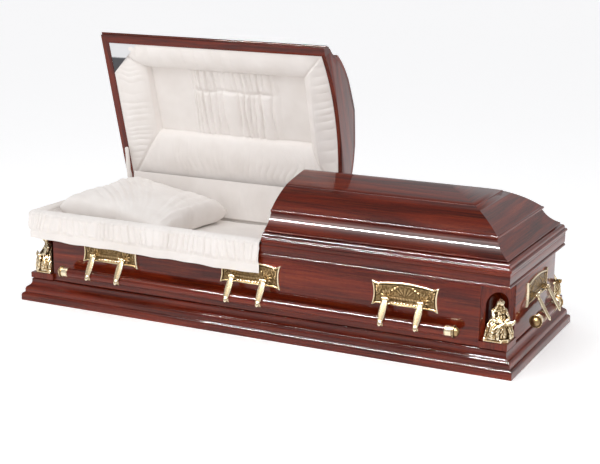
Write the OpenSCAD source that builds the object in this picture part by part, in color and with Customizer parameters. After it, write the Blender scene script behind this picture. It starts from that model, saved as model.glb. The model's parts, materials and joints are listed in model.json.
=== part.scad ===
// Half-couch wooden casket with a stepped base, recessed corners, swing bar handles and two hinged lids.
// Frame: X runs from the head end (-X) to the foot end (+X), the front is -Y, Z is up, and the origin
// is at the middle of the footprint of the base. Millimetres.
// Moulding outlines are given as [inset, height], with the inset counted inwards from the base's edge.

/* [Shell] */
// Length over the base moulding
shell_length = 2130; // [1700:10:2600]
// Width over the base moulding
shell_width = 800; // [660:5:980]
// Height of the base moulding
base_height = 95; // [80:1:120]
// Height of the joint between the shell and the lids
joint_height = 367; // [340:1:450]
// Height over the closed lids
closed_height = 597; // [580:1:720]
// Thickness of the side and end panels
panel_thick = 20; // [15:1:26]
// How far the panels stand in from the base's edge
panel_inset = 40; // [38:1:50]
// Height of the rail on top of the panels
rail_height = 46; // [38:1:60]
// Thickness of the bottom board
board_thick = 18; // [9:1:30]

/* [Corners] */
// Length of panel left out on each side of a corner
corner_cut = 100; // [90:1:120]
// Radius of the arched niche
niche_radius = 46; // [38:1:54]
// Height of the niche's arch above the ledge
niche_height = 172; // [150:1:180]
// Thickness of the ledge that carries a figure
ledge_thick = 23; // [16:1:28]
// Height of a figure on its plinth
figure_height = 158; // [130:1:170]

/* [Lids] */
// Place of the split between the two lids, from the middle towards the foot
split_place = 50; // [-100:5:150]
// Gap between the two lids
lid_gap = 2; // [1:0.5:5]
// Clearance between the lids and the rail
joint_gap = 0.5; // [0.4:0.1:2]
// Thickness of the lid's shell
lid_thick = 14; // [10:1:18]
// Height of the straight rim of a lid
rim_height = 47.5; // [44:0.5:60]
// Thickness of the rail and of a lid's rim
rim_thick = 32; // [28:1:40]
// Thickness of the board that closes a lid at the split
header_thick = 18; // [12:1:25]
// How far the header's lower edge arches up
header_rise = 65; // [40:1:75]
// Angle through which a lid opens
open_angle = 73.5; // [60:0.5:80]

/* [Handles] */
// Diameter of the wooden bars
bar_diameter = 36; // [28:1:40]
// Length of a side bar over its caps
side_bar_length = 1736; // [1500:2:1760]
// Length of an end bar over its caps
end_bar_length = 330; // [300:2:360]
// Distance from one side plate to the next
plate_pitch = 640; // [500:5:660]
// Length of a handle plate
plate_length = 265; // [220:1:290]
// Height of a handle plate at its tips
plate_height = 95; // [85:1:105]
// Distance between the two arms of a plate
arm_pitch = 138; // [110:1:160]
// Length of an arm from its pin to its tip
arm_length = 106; // [95:1:112]
// Angle at which the arms hang, from the vertical
arm_hang = 31; // [26:1:36]
// Diameter of a handle pin
pin_diameter = 6; // [4:0.5:8]

/* [Soft goods] */
// Height of the top of the mattress
mattress_top = 270; // [220:1:290]
// Length of the pillow along the casket
pillow_length = 520; // [400:5:600]
// Width of the pillow across the casket
pillow_width = 560; // [420:5:600]
// Thickness of the pillow
pillow_thick = 170; // [100:1:200]
// Thickness of the linings
lining_thick = 7; // [4:0.5:12]
// Drop of the overlay cloth below the joint
overlay_drop = 107; // [60:1:140]
// How high the overlay puffs above the joint
overlay_puff = 16; // [8:1:24]

/* [Hinges] */
// Radius of a hinge knuckle
knuckle_radius = 5; // [4:0.5:7]
// Height of the hinge axis below the joint
hinge_drop = 14; // [12:1:18]
// Length of a hinge
hinge_length = 150; // [90:5:200]

/* [Hidden] */
$fn = 48;

soft_gap = 0.3;              // clearance round a soft piece
eps = 1;                     // overlap of a cutting tool past a face
wood = "#6b2216";
brass = "#a58a58";
cloth = "#ece7e0";
dark_metal = "#2b2320";

half_l = shell_length / 2;
half_w = shell_width / 2;
wall_inset = panel_inset + panel_thick;           // inner face of the walls
panel_top = joint_height - rail_height;
rim_bottom = joint_height + joint_gap;
rim_top = joint_height + rim_height + joint_gap;
hinge_z = joint_height - hinge_drop;
fascia_inset = panel_inset - 5;                   // rail and rim face
rim_inset = fascia_inset + rim_thick;             // inner face of the rail and rim
hinge_y = half_w - fascia_inset + knuckle_radius + 0.3;

// ---------- outlines ----------

function arc(c, r, a0, a1, n = 8) =
    [for (i = [0 : n]) let (a = a0 + (a1 - a0) * i / n) c + r * [cos(a), sin(a)]];

// Bowed line from p to q that bulges to its left by rise at the middle.
function bow(p, q, rise, n = 10) =
    let (d = q - p, left = [-d[1], d[0]] / norm(d))
    [for (i = [0 : n]) let (t = i / n) p + t * d + left * rise * 4 * t * (1 - t)];

base_profile = concat(
    [[0, 0]],
    arc([12, base_height - 73], 12, 180, 90),                      // quarter round over the plinth
    [[12, base_height - 53]],
    arc([30, base_height - 50], 18, 176, 120, 6),                  // ogee, lower half
    arc([11, base_height - 15], 22, -60, 0, 6),                    // ogee, upper half
    [[33, base_height - 8]],
    arc([38, base_height - 8], 5, 180, 90, 4),
    [[38, base_height], [wall_inset, base_height], [wall_inset, 0]]);

rail_profile = concat(
    [[fascia_inset + 4, panel_top]],
    arc([fascia_inset + 4, panel_top + 6], 6, 270, 90, 8),         // bead along the lower edge
    [[fascia_inset + 2.5, panel_top + 13], [fascia_inset, panel_top + 20],
     [fascia_inset, joint_height], [rim_inset, joint_height], [rim_inset, panel_top]]);

rim_outer = concat(
    [[fascia_inset, rim_bottom], [fascia_inset, rim_bottom + 13]],
    arc([fascia_inset + 1, rim_bottom + 20], 7, 270, 90, 10),      // lower bead
    [[fascia_inset + 3, rim_bottom + 29]],
    arc([fascia_inset + 15, rim_bottom + 32], 12, 180, 90, 8));    // ovolo above it
rim_profile = concat(rim_outer,
    [[fascia_inset + 15, rim_top], [rim_inset, rim_top], [rim_inset, rim_bottom]]);

// Crown: cove, bead, dome, and a low hipped top that meets at the middle.
crown_foot = fascia_inset + 17;
cove_end = [fascia_inset + 79, rim_top + 63];
dome_end = [fascia_inset + 203, rim_top + 146];
crown_outer = concat(
    [[crown_foot, rim_top], [crown_foot + 2, rim_top + 4]],
    bow([crown_foot + 4, rim_top + 5], cove_end, -7, 12),
    arc(cove_end + [0, 6], 6, 260, 90, 10),
    bow(cove_end + [1, 12], dome_end, 6.5, 14),
    [dome_end + [1.5, 2]],
    bow(dome_end + [3, 3], [half_w, closed_height], 2, 6));
inner_foot = crown_foot + lid_thick;
crown_inner = concat(
    [[inner_foot, rim_top - eps], [inner_foot, rim_top + 1]],
    bow([inner_foot, rim_top + 1], cove_end + [lid_thick - 4, -6], -5, 6),
    bow(cove_end + [lid_thick, 2], dome_end + [6, -lid_thick + 1], 5, 8),
    [[half_w, closed_height - lid_thick]]);

// ---------- straight mouldings with mitred ends ----------

// Moulding along the front of a rectangle, mitred at both ends.
module run(profile, length_half, width_half) {
    deep = max([for (p = profile) p[0]]) + eps;
    high = max([for (p = profile) p[1]]) + eps;
    intersection() {
        translate([-length_half, -width_half, 0])
            rotate([90, 0, 90])
                linear_extrude(2 * length_half) polygon(profile);
        linear_extrude(high)
            polygon([[-length_half, -width_half], [length_half, -width_half],
                     [length_half - deep, -width_half + deep],
                     [-length_half + deep, -width_half + deep]]);
    }
}

module front_run(profile) color(wood) run(profile, half_l, half_w);
module back_run(profile) color(wood) rotate(180) run(profile, half_l, half_w);
module foot_run(profile) color(wood) rotate(90) run(profile, half_w, half_l);
module head_run(profile) color(wood) rotate(-90) run(profile, half_w, half_l);

module base_front() front_run(base_profile);
module base_back() back_run(base_profile);
module base_head() head_run(base_profile);
module base_foot() foot_run(base_profile);
module rail_front() front_run(rail_profile);
module rail_back() back_run(rail_profile);
module rail_head() head_run(rail_profile);
module rail_foot() foot_run(rail_profile);

module block(x0, x1, y0, y1, z0, z1) translate([x0, y0, z0]) cube([x1 - x0, y1 - y0, z1 - z0]);

module bottom_board()
    color("#8a6a4a")
        block(-half_l + wall_inset, half_l - wall_inset, -half_w + wall_inset, half_w - wall_inset,
              base_height - board_thick, base_height);

module long_panel()
    color(wood)
        block(-half_l + panel_inset + corner_cut, half_l - panel_inset - corner_cut,
              -half_w + panel_inset, -half_w + wall_inset, base_height, panel_top);
module short_panel()
    color(wood)
        block(-half_w + panel_inset + corner_cut, half_w - panel_inset - corner_cut,
              -half_l + panel_inset, -half_l + wall_inset, base_height, panel_top);
module panel_front() long_panel();
module panel_back() rotate(180) long_panel();
module panel_foot() rotate(90) short_panel();
module panel_head() rotate(-90) short_panel();

// ---------- corners ----------

// Children are drawn for the front foot corner and mirrored to the one asked for.
module at_corner(toward_foot, toward_front)
    mirror([toward_foot ? 0 : 1, 0, 0]) mirror([0, toward_front ? 0 : 1, 0]) children();
module each_corner()
    for (foot = [true, false], front = [true, false]) at_corner(foot, front) children();

corner_x = half_l - panel_inset;
corner_y = -half_w + panel_inset;
post_set = 6;                                   // the diagonal face stands behind the panels' edges
ledge_out = 9;                                  // the ledge stands out past the panels

post_deep = 76;                                 // how far the post reaches in, along X or Y

module corner_post()
    color(wood)
        difference() {
            translate([0, 0, base_height])
                linear_extrude(panel_top - base_height)
                    polygon([[corner_x - corner_cut, corner_y + post_set],
                             [corner_x - post_set, corner_y + corner_cut],
                             [corner_x - post_set - post_deep, corner_y + corner_cut],
                             [corner_x - corner_cut, corner_y + post_set + post_deep]]);
            translate([corner_x - (corner_cut + post_set) / 2, corner_y + (corner_cut + post_set) / 2,
                       base_height + ledge_thick]) {
                cylinder(r = niche_radius, h = niche_height - niche_radius);
                translate([0, 0, niche_height - niche_radius]) sphere(niche_radius);
            }
        }
module corner_posts() each_corner() corner_post();

module corner_ledge()
    color(wood)
        translate([0, 0, base_height])
            linear_extrude(ledge_thick)
                polygon([[corner_x - corner_cut, corner_y - ledge_out],
                         [corner_x + ledge_out, corner_y - ledge_out],
                         [corner_x + ledge_out, corner_y + corner_cut],
                         [corner_x - post_set, corner_y + corner_cut],
                         [corner_x - corner_cut, corner_y + post_set]]);
module corner_ledges() each_corner() corner_ledge();

// ---------- figures ----------

// Robe as rings of folds: [share of height, centre forward, half depth, half width, fold depth]
robe = [[0, 2, 38, 56, 3], [0.1, 3, 38, 55, 3.4], [0.24, 4, 35, 50, 3], [0.36, 2, 31, 44, 2],
        [0.44, -5, 24, 33, 2], [0.54, -9, 18, 25, 1.6], [0.66, -10, 17, 28, 1.4],
        [0.74, -8, 14, 22, 1.2], [0.8, -3, 12, 15, 0.9], [0.88, 1, 14.5, 15.5, 0.6],
        [0.95, 1, 11, 12, 0.3], [0.99, 0, 4, 4, 0]];
robe_rings = 17;
robe_sides = 22;
plinth_high = 14;
plinth_outline = [[-2, -62], [46, -14], [46, 14], [-2, 62], [-30, 36], [-30, -36]];

function robe_value(t, column) = lookup(t, [for (r = robe) [r[0], r[column]]]);
function robe_point(i, k) =
    let (t = robe[len(robe) - 1][0] * i / (robe_rings - 1), a = 360 * k / robe_sides,
         fold = robe_value(t, 4) * cos(7 * a + 60 * sin(200 * t)))
    [robe_value(t, 1) + (robe_value(t, 2) + fold) * cos(a),
     (robe_value(t, 3) + fold) * sin(a),
     t * (figure_height - plinth_high)];

module robe_body() {
    points = [for (i = [0 : robe_rings - 1], k = [0 : robe_sides - 1]) robe_point(i, k)];
    sides = [for (i = [0 : robe_rings - 2], k = [0 : robe_sides - 1])
        let (k2 = (k + 1) % robe_sides, a = i * robe_sides, b = a + robe_sides)
        [a + k, b + k, b + k2, a + k2]];
    floor_face = [[for (k = [0 : robe_sides - 1]) k]];
    top_face = [[for (k = [0 : robe_sides - 1]) len(points) - 1 - k]];
    polyhedron(points, concat(floor_face, sides, top_face), convexity = 6);
}

module limb(p, q, r0, r1) hull() {
    translate(p) sphere(r0, $fn = 8);
    translate(q) sphere(r1, $fn = 8);
}

module figure() {
    high = figure_height - plinth_high;
    color(brass) {
        linear_extrude(plinth_high)
            polygon(plinth_outline);
        translate([0, 0, plinth_high - 1]) {
            robe_body();
            translate([8, 0, 0.87 * high]) sphere(10, $fn = 12);            // face, under the veil
            for (s = [-1, 1]) {
                limb([-6, s * 25, 0.66 * high], [12, s * 30, 0.46 * high], 8, 7);     // upper arm
                limb([12, s * 30, 0.46 * high], [29, s * 6, 0.4 * high], 7, 5);       // forearm
                limb([30, s * 22, 0.32 * high], [40, s * 25, 0.03 * high], 9, 6);     // shin under cloth
            }
            for (k = [-2 : 2])                                                // sheaf of leaves on the lap
                limb([31, -8 + 3 * k, 0.37 * high], [36 - 2 * abs(k), 34 + 5 * k, (0.36 + 0.035 * k) * high],
                     2.6, 4.5);
            limb([31, 6, 0.4 * high], [36, -40, 0.3 * high], 4, 2.4);         // stems
        }
    }
}

figure_in = 38;                 // from the body's corner to the figure's middle, along X and along Y
module corner_figure(toward_foot, toward_front)
    at_corner(toward_foot, toward_front)
        translate([corner_x - figure_in, corner_y + figure_in, base_height + ledge_thick])
            rotate(-45) figure();
module figure_front_foot() corner_figure(true, true);
module figure_back_foot() corner_figure(true, false);
module figure_front_head() corner_figure(false, true);
module figure_back_head() corner_figure(false, false);

// ---------- handles ----------

bar_r = bar_diameter / 2;
pin_r = pin_diameter / 2;
plate_low = base_height + 100;              // height of a plate's lower tips
plate_deep = 5;
border_deep = 8;
border_wide = 7;
eye_r = pin_r + 5;
eye_width = 13;
lug_thick = 4;
pin_z = plate_low + 35;
pin_out = 26;                               // pin axis, out from the panel
leaf_thick = 10;
leaf_half_width = 14;
collar_thick = 3;
// The bar lies against the inner face of the arms, two thirds of the way down.
bar_along = 0.73 * arm_length;
bar_back = bar_r + leaf_thick / 2;
bar_out = pin_out + bar_along * sin(arm_hang) - bar_back * cos(arm_hang);
bar_z = pin_z - bar_along * cos(arm_hang) - bar_back * sin(arm_hang);

function plate_outline(half, low, high) = concat(
    [[-half, low], [-half + 22, low + 7], [half - 22, low + 7]],
    bow([half, low], [half, high], 8, 8),
    bow([half - 22, high - 7], [-half + 22, high - 7], -11, 10),
    bow([-half, high], [-half, low + 1], 8, 8));

// Children drawn round the middle of a plate, with X along the wall and the wall's face at Y = 0.
module upright() rotate([90, 0, 0]) children();

module handle_plate()
    color(brass) {
        half = plate_length / 2;
        difference() {
            upright() linear_extrude(border_deep)
                polygon(plate_outline(half, plate_low, plate_low + plate_height));
            translate([0, -plate_deep, 0]) upright() linear_extrude(border_deep)
                polygon(plate_outline(half - border_wide, plate_low + border_wide,
                                      plate_low + plate_height - border_wide));
        }
        translate([-arm_pitch / 2 + 12, -border_deep, pin_z - 6])
            cube([arm_pitch - 24, border_deep - plate_deep + 1, 9]);
        for (k = [-3 : 3])
            translate([k * (arm_pitch - 36) / 6, -plate_deep + 1, pin_z - 17])
                upright() cylinder(r = 5.5, h = border_deep - plate_deep);
        for (s = [-1, 1], t = [-1, 1])
            translate([s * arm_pitch / 2 + t * (eye_width / 2 + 0.4 + lug_thick / 2) - lug_thick / 2, 0, 0])
                difference() {
                    union() {
                        translate([0, -pin_out, pin_z]) rotate([0, 90, 0])
                            cylinder(r = eye_r, h = lug_thick);
                        translate([0, -pin_out, pin_z - eye_r]) cube([lug_thick, pin_out - 2, 2 * eye_r]);
                    }
                    translate([-eps, -pin_out, pin_z]) rotate([0, 90, 0])
                        cylinder(r = pin_r + 0.15, h = lug_thick + 2 * eps);
                }
    }

module plate_pins()
    color(brass)
        for (s = [-1, 1])
            translate([s * arm_pitch / 2 - eye_width / 2 - lug_thick - 2, -pin_out, pin_z])
                rotate([0, 90, 0]) cylinder(r = pin_r, h = eye_width + 2 * lug_thick + 4);

// One arm, with X along the pin, hanging straight down from the pin at the origin.
module arm_shape() {
    leaf = concat(bow([0, -6], [arm_length, 0], -leaf_half_width + 3, 10),
                  bow([arm_length, 0], [0, 6], -leaf_half_width + 3, 10));
    difference() {
        union() {
            rotate([0, 90, 0]) translate([0, 0, -eye_width / 2]) cylinder(r = eye_r, h = eye_width);
            intersection() {
                rotate([90, 90, 0]) translate([0, 0, -leaf_thick / 2]) linear_extrude(leaf_thick) polygon(leaf);
                translate([0, 19, -arm_length - eps]) cylinder(r = 24, h = arm_length + 9);
            }
            translate([-8, bar_back, -bar_along]) rotate([0, 90, 0]) cylinder(r = bar_r + collar_thick, h = 16);
        }
        rotate([0, 90, 0]) translate([0, 0, -eye_width]) cylinder(r = pin_r + 0.3, h = 2 * eye_width);
        translate([-20, bar_back, -bar_along]) rotate([0, 90, 0]) cylinder(r = bar_r, h = 40);
        for (s = [-1, 1])                       // the leaf narrows between the lugs
            translate([s > 0 ? eye_width / 2 : -eye_width / 2 - 20, -20, -eye_r - 5]) cube([20, 40, 40]);
    }
}
module plate_arms()
    color(brass)
        for (s = [-1, 1])
            translate([s * arm_pitch / 2, -pin_out, pin_z]) rotate([-arm_hang, 0, 0]) arm_shape();

cap_long = 32;
cap_grip = 29;
flange_thick = 3;
module wooden_bar(total)
    color(wood)
        translate([-total / 2 + bar_r + flange_thick + cap_long - cap_grip, -bar_out, bar_z])
            rotate([0, 90, 0])
                cylinder(r = bar_r, h = total - 2 * (bar_r + flange_thick + cap_long - cap_grip));
module bar_caps(total)
    color(brass)
        for (m = [0, 1]) mirror([m, 0, 0])
            translate([total / 2 - bar_r - flange_thick, -bar_out, bar_z]) rotate([0, 90, 0])
                difference() {
                    union() {
                        translate([0, 0, -cap_long]) cylinder(r = bar_r + 2, h = cap_long);
                        cylinder(r = bar_r + 7, h = flange_thick);
                        translate([0, 0, flange_thick]) intersection() {
                            sphere(bar_r);
                            cylinder(r = bar_r, h = bar_r);
                        }
                    }
                    translate([0, 0, -cap_long - eps]) cylinder(r = bar_r, h = cap_grip - (cap_long - cap_grip) + eps + 3);
                }

module on_front() translate([0, -half_w + panel_inset, 0]) children();
module on_back() rotate(180) on_front() children();
module on_foot() rotate(90) translate([0, -half_l + panel_inset, 0]) children();
module on_head() rotate(-90) translate([0, -half_l + panel_inset, 0]) children();
module at_plate(k) translate([k * plate_pitch, 0, 0]) children();

module plate_front_head() on_front() at_plate(-1) handle_plate();
module plate_front_middle() on_front() at_plate(0) handle_plate();
module plate_front_foot() on_front() at_plate(1) handle_plate();
module plate_back_head() on_back() at_plate(1) handle_plate();
module plate_back_middle() on_back() at_plate(0) handle_plate();
module plate_back_foot() on_back() at_plate(-1) handle_plate();
module plate_head() on_head() handle_plate();
module plate_foot() on_foot() handle_plate();
module handle_pins() {
    for (k = [-1 : 1]) {
        on_front() at_plate(k) plate_pins();
        on_back() at_plate(k) plate_pins();
    }
    on_head() plate_pins();
    on_foot() plate_pins();
}
module arms_front() on_front() for (k = [-1 : 1]) at_plate(k) plate_arms();
module arms_back() on_back() for (k = [-1 : 1]) at_plate(k) plate_arms();
module arms_head() on_head() plate_arms();
module arms_foot() on_foot() plate_arms();
module bar_front() on_front() wooden_bar(side_bar_length);
module bar_back() on_back() wooden_bar(side_bar_length);
module bar_head() on_head() wooden_bar(end_bar_length);
module bar_foot() on_foot() wooden_bar(end_bar_length);
module caps_front() on_front() bar_caps(side_bar_length);
module caps_back() on_back() bar_caps(side_bar_length);
module caps_head() on_head() bar_caps(end_bar_length);
module caps_foot() on_foot() bar_caps(end_bar_length);

// ---------- soft goods in the shell ----------

// Inside of the shell, drawn in by a distance, stepping round the corner posts.
function inside_corner(gap) =
    let (x0 = half_l - rim_inset - gap, y0 = half_w - rim_inset - gap,
         x1 = corner_x - corner_cut - gap, y1 = -corner_y - corner_cut - gap,
         x2 = x1 + (corner_cut - post_set - post_deep), y2 = y1 + (corner_cut - post_set - post_deep))
    [[x0, y1], [x2, y1], [x1, y2], [x1, y0]];
function inside_outline(gap) = let (c = inside_corner(gap)) concat(
    c, [for (i = [3 : -1 : 0]) [-c[i][0], c[i][1]]],
    [for (p = c) [-p[0], -p[1]]], [for (i = [3 : -1 : 0]) [c[i][0], -c[i][1]]]);

module mattress()
    color(cloth)
        translate([0, 0, base_height + soft_gap])
            linear_extrude(mattress_top - base_height - soft_gap)
                polygon(inside_outline(lining_thick + 2 * soft_gap));

module body_lining()
    color(cloth)
        translate([0, 0, base_height + soft_gap])
            linear_extrude(joint_height - base_height - 1)
                difference() {
                    polygon(inside_outline(soft_gap));
                    polygon(inside_outline(soft_gap + lining_thick));
                }

pillow_round = 0.4 * pillow_thick;
pillow_tilt = 9;
pillow_head_gap = 20;           // from the lining to the pillow
module pillow()
    color(cloth)
        translate([-half_l + rim_inset + lining_thick + pillow_head_gap + pillow_round, 0,
                   mattress_top + soft_gap + pillow_round])
            rotate([0, pillow_tilt, 0])
                hull()
                    for (x = [0, pillow_length - 2 * pillow_round], s = [-1, 1],
                         z = [0, pillow_thick - 2 * pillow_round])
                        translate([x, s * (pillow_width / 2 - pillow_round), z + pillow_lift(x)])
                            sphere(pillow_round, $fn = 20);
// The pillow's foot end rests on the mattress, so the head end is propped by the tilt.
function pillow_lift(x) = (pillow_length - 2 * pillow_round) * tan(pillow_tilt);

// Overlay: a puffed roll on top of the rail, and cloth that hangs down outside it.
overlay_deep = 10;
overlay_end = split_place - 4;
overlay_in = fascia_inset + 40;
overlay_out = fascia_inset - 3.7;
overlay_back = half_w - 100;                    // where the cloth stops along the head end
module overlay_corner(inset_out, inset_in)
    polygon([[-half_l + inset_out, -half_w + inset_out], [overlay_end, -half_w + inset_out],
             [overlay_end, -half_w + inset_in], [-half_l + inset_in, -half_w + inset_in],
             [-half_l + inset_in, overlay_back], [-half_l + inset_out, overlay_back]]);
module overlay_top()
    color(cloth)
        translate([0, 0, joint_height + soft_gap])
            linear_extrude(overlay_puff) overlay_corner(overlay_out - overlay_deep, overlay_in);
module overlay_drop_cloth()
    color(cloth)
        translate([0, 0, joint_height - overlay_drop])
            linear_extrude(overlay_drop - soft_gap)
                overlay_corner(overlay_out - overlay_deep, overlay_out);

latch_place = 505;
module latch()
    color(dark_metal)
        translate([latch_place - 14, -half_w + fascia_inset - 1.2, joint_height - 15])
            cube([28, 1.2, 14]);

// ---------- lids ----------

// Solid under a roof line: the same [inset, height] line on the front, the back and the far end.
module lid_form(line, start) {
    n = len(line);
    across = concat([for (p = line) [-half_w + p[0], p[1]]],
                    [for (i = [n - 1 : -1 : 0]) [half_w - line[i][0], line[i][1]]]);
    along = concat([[start, line[0][1]]], [for (p = line) [half_l - p[0], p[1]]],
                   [[start, line[n - 1][1]]]);
    intersection() {
        translate([start, 0, 0]) rotate([90, 0, 90]) linear_extrude(half_l - start) polygon(across);
        translate([0, half_w, 0]) rotate([90, 0, 0]) linear_extrude(shell_width) polygon(along);
    }
}

// A lid drawn closed with its far end at +X; start is the X of its end at the split.
module rim_solid(start)
    color(wood)
        intersection() {
            union() {
                run(rim_profile, half_l, half_w);
                rotate(180) run(rim_profile, half_l, half_w);
                rotate(90) run(rim_profile, half_w, half_l);
            }
            block(start, half_l, -half_w, half_w, 0, closed_height);
        }
module crown_solid(start)
    color(wood)
        difference() {
            lid_form(crown_outer, start);
            lid_form(crown_inner, start - eps);
        }
module header_solid(start) {
    chord = half_w - rim_inset;
    header_foot = rim_bottom + 2;
    color(wood)
        intersection() {
            union() {
                lid_form(crown_inner, start);
                block(start, half_l, -chord, chord, rim_bottom, rim_top);
            }
            translate([start, 0, 0]) rotate([90, 0, 90]) linear_extrude(header_thick)
                polygon(concat([[-half_w, closed_height], [-half_w, rim_top], [-chord, rim_top]],
                               bow([-chord, header_foot], [chord, header_foot], header_rise, 24),
                               [[chord, rim_top], [half_w, rim_top], [half_w, closed_height]]));
        }
}
lining_rise = 55;
lining_border = 150;
lining_low = rim_bottom + 3.5;
module lid_lining_solid(start) {
    edge = rim_inset + soft_gap;
    color(cloth)
        difference() {
            lid_form([[edge, lining_low], [edge, lining_low + lining_thick],
                      [edge + lining_border, lining_low + lining_rise + lining_thick],
                      [half_w, lining_low + lining_rise + lining_thick]], start + header_thick + soft_gap);
            lid_form([[edge + lining_thick, lining_low - eps], [edge + lining_thick, lining_low + 1],
                      [edge + lining_thick / 2 + lining_border, lining_low + lining_rise],
                      [half_w, lining_low + lining_rise]], start);
        }
}

module as_head_lid()
    translate([0, hinge_y, hinge_z]) rotate([-open_angle, 0, 0]) translate([0, -hinge_y, -hinge_z])
        mirror([1, 0, 0]) children();
head_start = -split_place + lid_gap / 2;
foot_start = split_place + lid_gap / 2;
module head_lid_rim() as_head_lid() rim_solid(head_start);
module head_lid_crown() as_head_lid() crown_solid(head_start);
module head_lid_header() as_head_lid() header_solid(head_start);
module head_lid_lining() as_head_lid() lid_lining_solid(head_start);
module foot_lid_rim() rim_solid(foot_start);
module foot_lid_crown() crown_solid(foot_start);
module foot_lid_header() header_solid(foot_start);
module foot_lid_lining() lid_lining_solid(foot_start);

// Plain card across the outer front corner of the head lid's lining.
card_leg = 140;
card_thick = 1;
module corner_card()
    as_head_lid() color("#4a4744")
        translate([half_l - rim_inset - 1, -half_w + rim_inset + 1, lining_low - card_thick - soft_gap])
            linear_extrude(card_thick) polygon([[0, 0], [0, card_leg], [-card_leg, 0]]);

// ---------- hinges ----------

head_hinges = [-half_l + 215, split_place - 200];
foot_hinges = [split_place + 150, half_l - 185];
leaf_sheet = 1.5;
hinge_pin_r = knuckle_radius / 2;
face_y = half_w - fascia_inset;
module knuckle(length) rotate([0, 90, 0]) translate([0, 0, -length / 2]) cylinder(r = knuckle_radius, h = length);
module body_leaf(x)
    color(dark_metal) {
        third = hinge_length / 3;
        for (s = [-1, 1])
            translate([x + s * third, hinge_y, hinge_z]) knuckle(third - 0.6);
        translate([x - hinge_length / 2 + 1, hinge_y, hinge_z]) rotate([0, 90, 0])
            cylinder(r = hinge_pin_r, h = hinge_length - 2);
        for (s = [-1, 1])
            block(x + s * third - third / 2 + 0.3, x + s * third + third / 2 - 0.3,
                  face_y, face_y + leaf_sheet, hinge_z - 11, hinge_z);
        block(x - hinge_length / 2, x + hinge_length / 2, face_y, face_y + leaf_sheet,
              hinge_z - 11, hinge_z - knuckle_radius - 1);
    }
module lid_leaf(x)
    color(dark_metal) {
        third = hinge_length / 3;
        difference() {
            union() {
                translate([x, hinge_y, hinge_z]) knuckle(third - 0.6);
                block(x - third / 2 + 0.3, x + third / 2 - 0.3, face_y + soft_gap,
                      face_y + soft_gap + leaf_sheet, hinge_z, rim_bottom + 11);
            }
            translate([x, hinge_y, hinge_z]) rotate([0, 90, 0])
                cylinder(r = hinge_pin_r + 0.3, h = hinge_length, center = true);
        }
        block(x - hinge_length / 2, x + hinge_length / 2, face_y + soft_gap,
              face_y + soft_gap + leaf_sheet, rim_bottom + 1, rim_bottom + 11);
    }
module hinges_body() for (x = concat(head_hinges, foot_hinges)) body_leaf(x);
module hinges_head_lid() as_head_lid() for (x = head_hinges) lid_leaf(-x);
module hinges_foot_lid() for (x = foot_hinges) lid_leaf(x);

// Padded stay in a cloth sleeve, from the rail's back corner up the open lid's edge.
stay_r = 12;
stay_x = -half_l + rim_inset - 1;
// Point on the open lid: along its joint face from the hinge axis, and out from that face.
function on_open_lid(u, v) =
    [stay_x, hinge_y - u * cos(open_angle) + (hinge_drop + joint_gap - v) * sin(open_angle),
     hinge_z + u * sin(open_angle) + (hinge_drop + joint_gap - v) * cos(open_angle)];
module lid_stay()
    color(cloth) {
        low = [stay_x, half_w - rim_inset - 20, joint_height + soft_gap + stay_r];
        bend = on_open_lid(105, stay_r + 16);
        top = on_open_lid(205, stay_r + soft_gap);
        hull() {
            translate(low) sphere(stay_r, $fn = 14);
            translate(bend) sphere(stay_r, $fn = 14);
        }
        hull() {
            translate(bend) sphere(stay_r, $fn = 14);
            translate(top) sphere(stay_r, $fn = 14);
        }
    }

base_front();
base_back();
base_head();
base_foot();
bottom_board();
panel_front();
panel_back();
panel_head();
panel_foot();
rail_front();
rail_back();
rail_head();
rail_foot();
corner_posts();
corner_ledges();
figure_front_foot();
figure_back_foot();
figure_front_head();
figure_back_head();
plate_front_head();
plate_front_middle();
plate_front_foot();
plate_back_head();
plate_back_middle();
plate_back_foot();
plate_head();
plate_foot();
handle_pins();
arms_front();
arms_back();
arms_head();
arms_foot();
bar_front();
bar_back();
bar_head();
bar_foot();
caps_front();
caps_back();
caps_head();
caps_foot();
mattress();
pillow();
body_lining();
overlay_top();
overlay_drop_cloth();
lid_stay();
latch();
head_lid_rim();
head_lid_crown();
head_lid_header();
head_lid_lining();
corner_card();
foot_lid_rim();
foot_lid_crown();
foot_lid_header();
foot_lid_lining();
hinges_body();
hinges_head_lid();
hinges_foot_lid();
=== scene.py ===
# %% [markdown]
# # A half-couch wooden casket
#
# A casket like this is joiner's work: a stepped base moulding, four panels under a rail, recessed
# corners that each shelter a small cast figure, and two hinged lids. Cloth covers the inside, and
# cast brass plates carry long wooden bars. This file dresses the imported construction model: it reads
# the sizes from the frame, makes every visible piece in the same place, and gives each one the
# surface that its maker would have left on it.

# %% Load the frame
import json
import math
import bmesh
import bpy
import numpy as np
from mathutils import Matrix, Vector


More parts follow.
